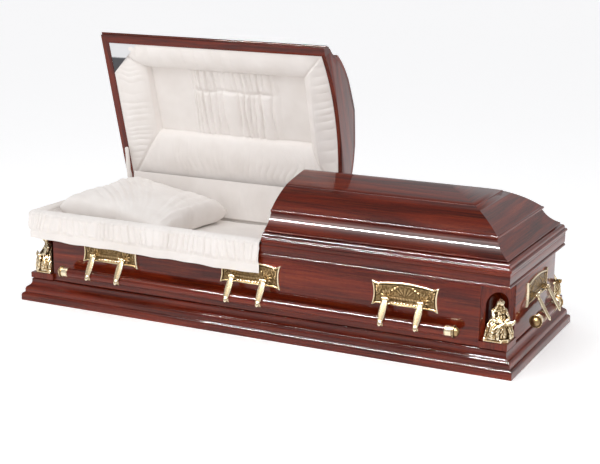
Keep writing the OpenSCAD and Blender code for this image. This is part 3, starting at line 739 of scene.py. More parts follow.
for number, (node, axis) in enumerate({"panel_front": 0, "panel_back": 0, "panel_head": 1,
                                       "panel_foot": 1}.items()):
    piece = board(node.replace("panel_", "") + "_panel_board", low(node), high(node), axis,
                  1.2 * MM, 40.0 + 2.3 * number)
    dress(piece, mahogany, "root", [node])
piece = board("bottom_board_sheet", low("bottom_board"), high("bottom_board"), 0, 1 * MM, 50.0)
dress(piece, plain_board, "root", ["bottom_board"])


def clean_copy(name, node, seed):
    """A merged copy of a CAD node, with its grain standing upright."""
    bm = bmesh.new()
    bm.from_mesh(frame["nodes"][node].data)
    bmesh.ops.remove_doubles(bm, verts=bm.verts, dist=1e-6)
    lay_grain(bm, lambda co: (co.z, abs(co.x) + 0.7 * abs(co.y), seed))
    return from_bmesh(name, bm)


for part, seed in (("post", 61.0), ("ledge", 65.0)):
    pieces = clean_copy(f"corner_{part}_boards", f"corner_{part}s", seed)
    dress(pieces, mahogany, "root", [f"corner_{part}s"])
    print(f"corner {part}s:", len(pieces.data.polygons), "faces")

# %% [markdown]
# ## Handle plates
#
# A plate is a thin casting pressed from a carved pattern: a rolled border with horned corners, a
# crest along the top, and a field crowded with leaves round a fluted shell. It is a height field, so
# it is made as one: a grid is bent to the plate's outline and every point is lifted by simple forms,
# a half-round for the border, a leaf with a midrib for each leaf, and a ring of flutes for the shell.

# %% Sizes of the hardware
WALL_Y = HALF_W - PANEL_INSET                     # how far a panel's face stands from the middle
plate_lo, plate_hi = low("plate_front_middle"), high("plate_front_middle")
PLATE_HALF = (plate_hi.x - plate_lo.x) / 2
PLATE_LOW = plate_lo.z
PITCH = (high("plate_front_foot").x + low("plate_front_foot").x) / 2
front_swing = joint("handle_front_swing")["pos_m"]
PIN_OUT = -front_swing[1] - WALL_Y
PIN_Z = front_swing[2]
ARM_APART = 69 * MM                               # from a plate's middle to an arm
ARM_LONG, ARM_HANG = 106 * MM, math.radians(31)
BAR_R = (high("bar_front").z - low("bar_front").z) / 2
BAR_OUT = -(high("bar_front").y + low("bar_front").y) / 2 - WALL_Y
BAR_Z = (high("bar_front").z + low("bar_front").z) / 2
LUG, EYE_R, EYE_WIDE = 4 * MM, 8 * MM, 13 * MM
print(f"plates {2 * PLATE_HALF:.3f} m long, bars {2 * BAR_R / MM:.0f} mm thick")

# %% [markdown]
# ### The carving
#
# A leaf is a pointed oval with a rounded height, a groove for its midrib and a ripple for its veins.
# The field is the highest of all its leaves, flutes and ribbon at each point, as overlapping forms
# are in a carving, and the bare ground between them is stippled.

# %% Carving of a plate
def leaf_form(x, z, centre, angle, long, wide):
    """Height from 0 to 1 of a pointed leaf with a midrib and two side veins."""
    u = (x - centre[0]) * math.cos(angle) + (z - centre[1]) * math.sin(angle)
    v = -(x - centre[0]) * math.sin(angle) + (z - centre[1]) * math.cos(angle)
    t = np.clip(u / long, 0, 1)
    edge = wide * np.sqrt(np.clip(4 * t * (1 - t), 0, 1)) * (1 - 0.35 * t) + 1e-6
    inside = np.clip(1 - (v / edge) ** 2, 0, 1) * (u > 0) * (u < long)
    rib = 1 - 0.45 * np.exp(-(v / (0.16 * wide)) ** 2)
    return np.sqrt(inside) * rib * (0.8 + 0.2 * np.cos(9 * t + 3 * np.abs(v) / wide))


def plate_relief(x, z):
    """Carving on the field, with x and z in millimetres from the middle of the plate."""
    side = np.abs(x)
    height = np.zeros_like(x)
    for k in range(6):                                     # a fan of leaves up each side
        turn = math.radians(-55 + 31 * k)
        for root, long in (((66, -12), 32), ((98, 8), 25)):
            height = np.maximum(height, 4.0 * leaf_form(side, z, root, turn, long, 6.5))
    for k in range(5):                                     # a scroll of leaves under the crest
        height = np.maximum(height, 3.6 * leaf_form(side, z, (38 + 11 * k, 22 - 3.5 * k),
                                                    math.radians(150 + 18 * k), 17, 5))
    across, up = x / 38, (z - 12) / 17                     # the shell
    radius = np.hypot(across, up)
    flutes = 0.75 + 0.25 * np.cos(26 * np.arctan2(across, up + 1.4))
    height = np.maximum(height, 3.0 * np.sqrt(np.clip(1 - radius ** 2, 0, 1)) * flutes)
    ribbon = np.clip(1 - ((z + 17) / 5.5) ** 2, 0, 1) * (side < 58)
    wrap = 0.8 + 0.2 * np.cos(0.55 * x + 0.25 * z)
    height = np.maximum(height, 3.2 * np.sqrt(ribbon) * wrap)
    stipple = 0.5 * drift(x * 0.55, z * 0.55, 3) + 0.3 * drift(x * 1.3, z * 1.3, 4)
    return height + stipple * (height < 0.3)


def plate_mesh(columns=190, rows=74):
    """A closed plate round the origin of a wall: X along the wall, the wall's face at Y = 0."""
    u, v = np.meshgrid(np.linspace(-1, 1, columns), np.linspace(0, 1, rows))
    half = PLATE_HALF / MM
    side = half - 8 * 4 * v * (1 - v)
    x = u * side
    tip = smooth(np.abs(x), half - 24, half - 3)
    bottom = 7 * (1 - tip)
    mid = np.clip(np.abs(x) / (half - 22), 0, 1)
    top = 95 - 7 * (1 - tip) + 11 * (1 - mid ** 2)         # the crest stands above the horns
    z = bottom + (top - bottom) * v
    to_side, to_top, to_low = side * (1 - np.abs(u)), top - z, z - bottom
    edge = np.minimum(to_side, np.minimum(to_top, to_low))
    roll = 3.4 * np.sqrt(np.clip(1 - ((edge - 4.2) / 4.6) ** 2, 0, 1))
    groove = 0.9 * np.exp(-((edge - 9.6) / 1.2) ** 2)
    field = plate_relief(x, z - 52) * smooth(edge, 8.5, 11.5)
    lift = (3.2 + np.maximum(roll + 0.9, field) - groove) * smooth(edge, -0.6, 1.6) + 1.2
    front = np.stack([x * MM, -lift * MM, PLATE_LOW + z * MM], -1).reshape(-1, 3)
    back = front * [1, 0, 1]
    n = rows * columns
    rim = border_loop(rows, columns)
    walls = [(a, b, n + b, n + a) for a, b in zip(rim, rim[1:] + rim[:1])]
    flat_back = tuple(n + a for a in rim)                  # one face closes the flat back
    return np.concatenate([front, back]), [*grid_faces(rows, columns), *walls, flat_back]


def plate_piece(name):
    """The casting without the points of its back grid that no face uses."""
    obj = build(name, *plate_mesh(), merge=0)
    bm = bmesh.new()
    bm.from_mesh(obj.data)
    bmesh.ops.delete(bm, geom=[v for v in bm.verts if not v.link_faces], context="VERTS")
    bpy.data.objects.remove(obj)
    return rub(from_bmesh(name, bm), gain=1.4, base=0.38)

# %% [markdown]
# ### Lugs and turned parts
#
# The lugs that hold a pin are flat, round-nosed ears. Everything that was made on a lathe, such as
# pins, caps, collars and bars, is one profile spun about an axis.

# %% Lugs and turned parts
def lug_outline():
    """Side view of a lug in YZ: a rounded eye out from the wall."""
    eye = arc((-PIN_OUT, PIN_Z), EYE_R, 90, 270, 14)
    return outline((-2 * MM, PIN_Z + EYE_R), eye, (-2 * MM, PIN_Z - EYE_R))


def lathe(name, profile, start, sides=40):
    """Turns [along, radius] points about the X axis from start. Radius 0 makes a closed pole."""
    profile = np.array(profile)
    angles = np.linspace(0, 2 * np.pi, sides, endpoint=False)
    rings = np.stack([np.broadcast_to(profile[:, :1], (len(profile), sides)),
                      profile[:, 1:] * np.cos(angles), profile[:, 1:] * np.sin(angles)], -1)
    return build(name, rings.reshape(-1, 3) + start, grid_faces(len(profile), sides, wrap=True))

# %% [markdown]
# ## A row of beads, grown by Geometry Nodes
#
# The beads under the ribbon bar are alike and evenly spaced, which is what a node tree is good at:
# a line of points, one small sphere on each, and the material at the end. The tree has named inputs
# for its ends, its count and its radius. Its instances are made real, because a finished piece is
# plain mesh.

# %% Bead row, by Geometry Nodes
def node_tree(name, inputs):
    """A geometry node tree with named inputs: {name: (socket type, default)}."""
    tree = bpy.data.node_groups.new(name, "GeometryNodeTree")
    tree.interface.new_socket("Geometry", in_out="OUTPUT", socket_type="NodeSocketGeometry")
    for key, (kind, value) in inputs.items():
        socket = tree.interface.new_socket(key, in_out="INPUT", socket_type=kind)
        if value is not None:
            socket.default_value = value
    return tree, add(tree, "NodeGroupInput").outputs


def grown(name, tree, values, points=(), heading=()):
    """The plain mesh that the tree makes with these inputs, on points that each have a heading."""
    seeds = bpy.data.meshes.new(name)
    seeds.from_pydata([tuple(map(float, q)) for q in points], [], [])
    if len(heading):
        attribute = seeds.attributes.new("heading", "FLOAT_VECTOR", "POINT")
        attribute.data.foreach_set("vector", np.asarray(heading, np.float32).ravel())
    host = bpy.data.objects.new(name, seeds)
    scene.collection.objects.link(host)
    modifier = host.modifiers.new("grow", "NODES")
    modifier.node_group = tree
    sockets = {s.name: s.identifier for s in tree.interface.items_tree if s.in_out == "INPUT"}
    for key, value in values.items():
        modifier[sockets[key]] = value
    return settled(host)


bead_tree, given = node_tree("row of beads", {
    "Start": ("NodeSocketVector", (0, 0, 0)), "End": ("NodeSocketVector", (1, 0, 0)),
    "Count": ("NodeSocketInt", 7), "Radius": ("NodeSocketFloat", 0.005),
    "Finish": ("NodeSocketMaterial", None)})
line = add(bead_tree, "GeometryNodeMeshLine", {"Count": given["Count"], "Start Location": given["Start"],
                                               "Offset": given["End"]}, mode="END_POINTS")
bead = add(bead_tree, "GeometryNodeMeshUVSphere", {"Segments": 14, "Rings": 9, "Radius": given["Radius"]})
row = add(bead_tree, "GeometryNodeInstanceOnPoints",
          {"Points": line.outputs[0], "Instance": bead.outputs[0]})
real = add(bead_tree, "GeometryNodeRealizeInstances", {0: row.outputs[0]})
coated = add(bead_tree, "GeometryNodeSetMaterial", {0: real.outputs[0], "Material": given["Finish"]})
add(bead_tree, "NodeGroupOutput", {0: coated.outputs[0]})
print("bead tree:", len(bead_tree.nodes), "nodes")

# %% [markdown]
# ## The plates in their places
#
# All eight plates come from one pattern, as castings do. Each has four lugs for the pins and its row
# of beads, and one matrix takes the pattern from a wall's own frame to its side of the casket.

# %% The plates, their lugs and beads
def on_side(side, offset=0.0):
    """From a wall's own frame to the casket's: X along the wall, the wall's face at Y = 0."""
    angle, _, wide = SIDES[side]
    return turned(angle) @ Matrix.Translation((offset, -(wide - PANEL_INSET), 0))


def whole_plate():
    parts = [plate_piece("plate casting")]
    for s in (-1, 1):
        for t in (-1, 1):
            lug = extruded("lug", lug_outline(), LUG, ease=0.8 * MM)
            middle = s * ARM_APART + t * (EYE_WIDE / 2 + 0.4 * MM + LUG / 2)
            lug.data.transform(Matrix.Translation((middle - LUG / 2, 0, 0)))
            parts.append(rub(lug, base=0.6))
    bead_z = PIN_Z - 17 * MM
    beads = grown("beads", bead_tree,
                  {"Start": (-51 * MM, -6 * MM, bead_z), "End": (51 * MM, -6 * MM, bead_z),
                   "Count": 9, "Radius": 4.6 * MM, "Finish": brass})
    attribute = beads.data.attributes.new("wear", "FLOAT", "POINT")
    attribute.data.foreach_set("value", [0.85] * len(beads.data.vertices))
    parts.append(beads)
    return joined("plate", parts)


pattern = whole_plate()
print("one plate has", len(pattern.data.polygons), "faces")
PLATES = {"plate_front_head": ("front", -1), "plate_front_middle": ("front", 0),
          "plate_front_foot": ("front", 1), "plate_back_head": ("back", 1),
          "plate_back_middle": ("back", 0), "plate_back_foot": ("back", -1),
          "plate_head": ("head", 0), "plate_foot": ("foot", 0)}
for node, (side, k) in PLATES.items():
    plate = duplicate(pattern, node.replace("plate", "handle_plate"))
    dress(place(plate, on_side(side, k * PITCH)), brass, "root", [node], sharp=50)
bpy.data.objects.remove(pattern)

# %% [markdown]
# ## Arms
#
# An arm is a cast leaf that hangs from the plate's pin, broad in the middle, with an eye at the top,
# a boss near the tip, and a collar behind it that grips the bar. It is lofted from rings whose width
# and thickness are smooth functions of the way down.

# %% Arms
def arm_piece(rings=56, sides=26):
    """One arm hanging straight down from a pin at the origin, with X along the pin."""
    s = np.linspace(0, 1, rings)[:, None]
    angle = np.linspace(0, 2 * np.pi, sides, endpoint=False)[None, :]
    swell = np.sqrt(np.clip(np.sin(np.pi * np.clip(s, 0, 1) ** 0.8), 0, 1))
    rounded_tip = np.sqrt(np.clip((1 - s) * 14, 0, 1))
    wide = (4.6 + 9.4 * swell ** 1.3) * rounded_tip
    thick = (4.6 + 1.2 * swell) * rounded_tip
    boss = np.exp(-((s - 0.86) / 0.035) ** 2)
    across, out = np.cos(angle), np.sin(angle)
    face = np.where(out < 0, np.abs(out) ** 0.8, -0.7 * np.abs(out) ** 0.5)     # domed front, flat back
    x = wide * across
    y = -thick * face - 2.6 * boss * np.clip(-out, 0, 1) * np.exp(-(across * 1.8) ** 2)
    rib = (0.8 * np.exp(-(x / 1.4) ** 2) * np.clip(-out, 0, 1)
           * smooth(s, 0.1, 0.3) * smooth(1 - s, 0.2, 0.35))
    z = np.broadcast_to(-s * ARM_LONG / MM, x.shape)
    points = np.stack([x, y - rib, z], -1).reshape(-1, 3) * MM
    caps = [tuple(range(sides)), tuple(range((rings - 1) * sides, rings * sides))]
    leaf = rub(build("leaf", points, list(map(tuple, grid_faces(rings, sides, wrap=True))) + caps,
                     merge=1e-7), gain=1.5, base=0.5)
    half = EYE_WIDE / MM / 2
    eye_profile = np.array([(-half, 0), (-half, 7), (-half + 0.8, 8), (-1.5, 8.2), (0, 8.8),
                            (1.5, 8.2), (half - 0.8, 8), (half, 7), (half, 0)])
    eye = lathe("eye", eye_profile * MM, (0, 0, 0))
    back, down = BAR_R + 5 * MM, 0.73 * ARM_LONG
    r = BAR_R / MM
    collar_profile = np.array([(-8, r + 0.1), (-8, r + 2.4), (-7, r + 3), (-4, r + 2.6), (0, r + 3),
                               (4, r + 2.6), (7, r + 3), (8, r + 2.4), (8, r + 0.1), (-8, r + 0.1)])
    collar = lathe("collar", collar_profile * MM, (0, back, -down), 48)
    return joined("arm", [leaf, rub(eye, base=0.6), rub(collar, base=0.6)])


arm_pattern = arm_piece()
SWINGS = {"front": (-1, 0, 1), "back": (-1, 0, 1), "head": (0,), "foot": (0,)}
for side, spots in SWINGS.items():
    arms = []
    for k in spots:
        for s in (-1, 1):
            hang = (Matrix.Translation((s * ARM_APART, -PIN_OUT, PIN_Z))
                    @ Matrix.Rotation(-ARM_HANG, 4, "X"))
            arms.append(place(duplicate(arm_pattern, "arm"), on_side(side, k * PITCH) @ hang))
    print(f"{side}: {len(arms)} arms")
    dress(joined(f"leaf_arms_{side}", arms), brass, f"handle_{side}", [f"arms_{side}"],
          45)
bpy.data.objects.remove(arm_pattern)

# %% [markdown]
# ## Bars, end caps and pins
#
# These are all turned on a lathe, so each is a profile spun about its axis. The bar's ends are eased,
# each cap is a ribbed sleeve, a thin flange and a ball, and each pin has a low dome at both ends.

# %% Bars, caps and pins
def dowel(name, half_long, sides=48):
    """A turned bar along X with eased ends and its grain along it."""
    r, ease = BAR_R, 1.5 * MM
    profile = [(-half_long, 0), (-half_long, r - ease), (-half_long + ease, r), (half_long - ease, r),
               (half_long, r - ease), (half_long, 0)]
    bar = lathe(name, profile, (0, -BAR_OUT, BAR_Z), sides)
    layer = bar.data.attributes.new("grain", "FLOAT_VECTOR", "CORNER")
    places = [bar.data.vertices[loop.vertex_index].co for loop in bar.data.loops]
    layer.data.foreach_set("vector", [c for p in places for c in (p.x, 1.3 * p.z + 0.6 * p.y, half_long)])
    return bar


def cap_profile():
    """Sleeve, flange and ball, with the flange's outer face at 0 and the bar towards -X."""
    r = BAR_R / MM
    sleeve = [(-35, r - 1), (-35, r + 1.4), (-34.4, r + 2), (-32, r + 2), (-31.4, r + 1.3),
              (-30.8, r + 2)]
    waist = [(-9, r + 2), (-8.2, r + 1.2), (-7.4, r + 2.2), (-5.5, r + 2.6), (-4, r + 2.2)]
    flange = [(-3, r + 3), (-2.9, r + 6.2), (-2.2, r + 7), (-0.8, r + 7), (-0.1, r + 6.2), (0, r - 0.6)]
    ball = [(r * math.cos(a), r * math.sin(a)) for a in np.radians(np.linspace(86, 0, 22))]
    return np.array([(-35, 0)] + sleeve + waist + flange + ball) * MM


for side in SIDES:
    node = f"bar_{side}"
    bar_long = max(high(node) - low(node))
    bar = dowel(f"wooden_bar_{side}", bar_long / 2)
    dress(place(bar, on_side(side)), mahogany, f"handle_{side}", [node])
    reach = max(high(f"caps_{side}") - low(f"caps_{side}")) / 2
    caps = []
    for s in (1, -1):
        cap = lathe("cap", cap_profile(), (reach - BAR_R, -BAR_OUT, BAR_Z), 56)
        caps.append(rub(place(cap, Matrix.Diagonal((s, 1, 1, 1))), gain=1.2, base=0.44))
    dress(place(joined(f"bar_caps_{side}", caps), on_side(side)), brass, f"handle_{side}",
          [f"caps_{side}"], 40)
    print(f"{side}: bar {bar_long:.3f} m long, {2 * reach:.3f} m over its caps")

PIN_LONG, PIN_R = EYE_WIDE + 2 * LUG + 4 * MM, 3 * MM
dome = [(PIN_LONG / 2 - 0.6 * MM + 2.2 * MM * math.sin(a), 4.4 * MM * math.cos(a))
        for a in np.linspace(0, math.pi / 2, 6)]
shank = [(-PIN_LONG / 2 + 1 * MM, PIN_R), (PIN_LONG / 2 - 1 * MM, PIN_R)]
pin_profile = [(-x, q) for x, q in dome[::-1]] + shank + dome
pins = []
for side, spots in SWINGS.items():
    for k in spots:
        for s in (-1, 1):
            pin = lathe("pin", pin_profile, (s * ARM_APART, -PIN_OUT, PIN_Z), 20)
            pins.append(place(rub(pin, base=0.75), on_side(side, k * PITCH)))
dress(joined("domed_pins", pins), brass, "root", ["handle_pins"])

# %% [markdown]
# ## Cloth
#
# The lining is thin crepe over wadding. Where it is gathered on a tape, the folds are round on top
# and pinched between, of many widths, and they die away towards the hem. So a gather is a row of
# unequal humps, made by warping the distance along the seam with slow noise before the humps are cut.
# Cloth with a free edge is given its thickness. The lids' linings are single layers, glued down at
# their borders.

# %% Helpers for cloth
def humps(s, spacing, seed):
    """Round folds with pinched creases along s, of unequal width and height, from 0 to 1."""
    phase = s / spacing + 1.1 * drift(s / spacing * 0.35, seed * 3.1, seed) * 2
    number, within = np.floor(phase), phase - np.floor(phase)
    size = 0.45 + 0.55 * LATTICE[(number.astype(int) * 7 + seed) % 256, (seed * 13) % 256]
    return size * np.clip(4 * within * (1 - within), 0, 1) ** 0.6


def normals_of(grid):
    """Unit normals of a grid of points, rows x columns x 3."""
    n = np.cross(np.gradient(grid, axis=1), np.gradient(grid, axis=0))
    return n / np.maximum(np.linalg.norm(n, axis=-1, keepdims=True), 1e-12)


def cloth(name, grid, thick=0.0, facing=None):
    """A sheet from a grid of points. With thick it is closed; without, it faces that direction."""
    rows, columns = grid.shape[:2]
    faces = grid_faces(rows, columns)
    if not thick:
        obj = build(name, grid.reshape(-1, 3), faces, outward=False, merge=0)
        mean = sum((f.normal * f.area for f in obj.data.polygons), Vector())
        if mean.dot(Vector(facing)) < 0:
            obj.data.flip_normals()
        return obj
    back = grid - normals_of(grid) * thick
    n = rows * columns
    rim = border_loop(rows, columns)
    walls = [(a, b, n + b, n + a) for a, b in zip(rim, rim[1:] + rim[:1])]
    return build(name, np.concatenate([grid.reshape(-1, 3), back.reshape(-1, 3)]),
                 [*faces, *(faces[:, ::-1] + n), *walls], merge=0)


def section_at(t, stations):
    """Smooth values along a section, from rows of (share, value, value...)."""
    stations = np.array(stations)
    t = np.asarray(t, float)
    i = np.clip(np.searchsorted(stations[:, 0], t, "right") - 1, 0, len(stations) - 2)
    lo, hi = stations[i], stations[i + 1]
    f = ((t - lo[..., 0]) / (hi[..., 0] - lo[..., 0]))[..., None]
    before, after = stations[np.maximum(i - 1, 0)], stations[np.minimum(i + 2, len(stations) - 1)]
    m0, m1 = (hi - before)[..., 1:] / 2, (after - lo)[..., 1:] / 2
    p, q = lo[..., 1:], hi[..., 1:]
    return (p * (2 * f ** 3 - 3 * f ** 2 + 1) + m0 * (f ** 3 - 2 * f ** 2 + f)
            + q * (3 * f ** 2 - 2 * f ** 3) + m1 * (f ** 3 - f ** 2))

# %% [markdown]
# ## The overlay
#
# A deep band of gathered cloth is tucked down inside the shell, turned over the rail and let hang
# outside, round the head end and along the front as far as the lid that stays shut. The head lid
# comes down on it, and the part above the joint is made as a piece of its own.

# %% Overlay
OVERLAY_FROM = high("overlay_drop_cloth").y - 2 * MM
OVERLAY_TO = high("overlay_drop_cloth").x - 1.5 * MM
CORNER_R = 50 * MM                                # plan radius of the corner at the base's edge
SEAM_INSET = 45 * MM                              # the run is measured along a line this far in
TURN_R = CORNER_R - SEAM_INSET
END_LONG = OVERLAY_FROM + (HALF_W - SEAM_INSET - TURN_R)
TURN_LONG = math.pi / 2 * TURN_R + 30 * MM        # with the fullness that takes it round the corner
FRONT_LONG = OVERLAY_TO + (HALF_L - SEAM_INSET - TURN_R)
OVERLAY_LONG = END_LONG + TURN_LONG + FRONT_LONG
print(f"the overlay runs {OVERLAY_LONG:.3f} m")


def round_head_end(inset, s):
    """Plan points of a line that far inside the footprint: along the head end, then the front."""
    r = np.maximum(6 * MM, CORNER_R - inset)
    cx, cy = -(HALF_L - inset - r), -(HALF_W - inset - r)
    f = np.clip(s / END_LONG, 0, 1)
    g = np.clip((s - END_LONG) / TURN_LONG, 0, 1)
    h = np.clip((s - END_LONG - TURN_LONG) / FRONT_LONG, 0, 1)
    angle = math.pi + g * math.pi / 2
    nx, ny = np.cos(angle), np.sin(angle)
    x = np.where(h > 0, cx + h * (OVERLAY_TO - cx), cx + r * nx)
    y = np.where(f < 1, OVERLAY_FROM + f * (cy - OVERLAY_FROM), cy + r * ny)
    return x, y, nx + 0 * x, ny + 0 * y


# The section over the rail, as (share, inset, height): up from the tuck, over, and down to the joint.
OVER_RAIL = [(0.0, 78, 300), (0.16, 76, 338), (0.28, 70, 367.3), (0.34, 61, 379), (0.42, 49, 384),
             (0.50, 38, 381), (0.56, 30.5, 374), (0.60, 28, 367.3)]


def hem_height(s):
    """The hem dips towards the front's middle."""
    along = np.clip((s - 0.66) / (OVERLAY_LONG - 0.66), 0, 1)
    return (268 - 16 * along + 1.6 * np.sin(s * 19) + 1.2 * np.sin(s * 47 + 1)) * MM


def overlay_grid(t, s):
    """Points for shares t of the section: 0.6 is the joint outside, 1 the hem."""
    t, s = np.meshgrid(t, s, indexing="ij")
    upper = section_at(np.minimum(t, 0.6), OVER_RAIL) * MM
    down = np.clip((t - 0.6) / 0.4, 0, 1)
    inset = upper[..., 0] - 1 * MM * np.sin(np.clip(down, 0, 0.6) / 0.6 * np.pi / 2) * (down > 0)
    joint_z = RIM_BOTTOM - 0.2 * MM
    z = np.where(t > 0.6, joint_z + (hem_height(s) - joint_z) * down, upper[..., 1])
    lean = s + 52 * MM * (drift(s * 7, t * 1.5, 2) - 0.5) * down
    gathers = (0.8 * humps(lean, 0.028, 5) ** 1.3 + 0.45 * humps(lean * 1.02 + 0.3, 0.018, 9) ** 1.3
               + 0.35 * (drift(s * 60, t * 7, 3) - 0.5))
    size = (smooth(t, 0.05, 0.25) * 2.5 + 12.5 * smooth(t, 0.42, 0.64)) * (1 - smooth(down, 0.5, 0.74))
    size = size + 0.9 * smooth(down, 0.62, 0.8) * drift(s * 16, 0 * s, 11) / 0.5
    band = 1.6 * np.exp(-((down - 0.72) / 0.02) ** 2)              # the hem is a second layer
    out = (size * (gathers - 0.12) + 1.4 * smooth(down, 0.70, 0.74) - band * 0.4) * MM
    room = inset - 17.5 * MM                                       # it stays over the base moulding
    out = np.minimum(out, np.maximum(room, 0.5 * MM))
    x, y, nx, ny = round_head_end(inset, s)
    up = np.exp(-((t - 0.43) / 0.10) ** 2)                         # over the rail the folds lift too
    return np.stack([x + nx * out * (1 - up), y + ny * out * (1 - up), z + out * up * 0.35], -1)

# %% [markdown]
# ### The roll over the rail
#
# The band is made as three pieces that share their points where they meet: the tuck inside, the roll
# above the joint and the skirt outside. Each is cut longer than the run it covers, which is what
# makes gathers.

# %% Roll over the rail
along_seam = np.linspace(0, OVERLAY_LONG, 620)
OVERLAY_THICK = 0.9 * MM
top = cloth("overlay_over_rail", overlay_grid(np.linspace(0.28, 0.6, 30), along_seam), OVERLAY_THICK)
dress(top, crepe, "root", ["overlay_top"], 180)
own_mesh(top)

# %% [markdown]
# ### Hem stitches
#
# A stitch shows as a short bead of thread that lies along the seam. The tree puts a small sphere on
# each point, drawn out along the heading that the point carries. Real stitches are finer, and these
# are drawn as coarse as they need to be to show.

# %% Hem stitches, skirt and tuck
stitch_tree, given = node_tree("row of stitches", {
    "Geometry": ("NodeSocketGeometry", None), "Radius": ("NodeSocketFloat", 0.0004),
    "Stretch": ("NodeSocketVector", (5, 1, 1)), "Finish": ("NodeSocketMaterial", None)})
heading = add(stitch_tree, "GeometryNodeInputNamedAttribute", {"Name": "heading"},
              data_type="FLOAT_VECTOR")
aimed = add(stitch_tree, "FunctionNodeAlignRotationToVector", {"Vector": heading.outputs[0]}, axis="X")
stitch = add(stitch_tree, "GeometryNodeMeshUVSphere",
             {"Segments": 8, "Rings": 5, "Radius": given["Radius"]})
row = add(stitch_tree, "GeometryNodeInstanceOnPoints",
          {"Points": given["Geometry"], "Instance": stitch.outputs[0], "Rotation": aimed.outputs[0],
           "Scale": given["Stretch"]})
real = add(stitch_tree, "GeometryNodeRealizeInstances", {0: row.outputs[0]})
coated = add(stitch_tree, "GeometryNodeSetMaterial", {0: real.outputs[0], "Material": given["Finish"]})
add(stitch_tree, "NodeGroupOutput", {0: coated.outputs[0]})


def stitched(name, line, facing):
    """Stitches at the points of a line, lying on the cloth that faces that way."""
    heading = np.gradient(line, axis=0)
    heading /= np.maximum(np.linalg.norm(heading, axis=1, keepdims=True), 1e-9)
    seam = grown(name, stitch_tree, {"Radius": 0.55 * MM, "Stretch": (5.0, 1.0, 1.0), "Finish": crepe},
                 line + facing * 0.3 * MM, heading)
    return dress(seam, crepe, "root", [], 180)


places = np.linspace(4 * MM, OVERLAY_LONG - 4 * MM, 250)
for number, share in enumerate((0.878, 0.982)):                    # above the hem's fold and below it
    near = overlay_grid(np.array([share - 0.002, share, share + 0.002]), places)
    stitched(f"hem_stitches_{number}", near[1], normals_of(near)[1])
skirt = cloth("overlay_skirt", overlay_grid(np.linspace(0.6, 1.0, 54), along_seam), OVERLAY_THICK)
dress(skirt, crepe, "root", ["overlay_drop_cloth"], 180)
tuck = cloth("overlay_tuck", overlay_grid(np.linspace(0.0, 0.28, 14), along_seam), OVERLAY_THICK)
dress(tuck, crepe, "root", [], 180)
print("two rows of", len(places), "stitches")

# %% [markdown]
# ## Lid linings
#
# Inside the lid a padded roll runs round the border, mitred at its corners, and slopes to a sunk
# panel whose cloth is shirred: gathered along one line and let run out into soft pleats on both
# sides of it. The lining is drawn in the closed lid as a height above the joint, then swung open.

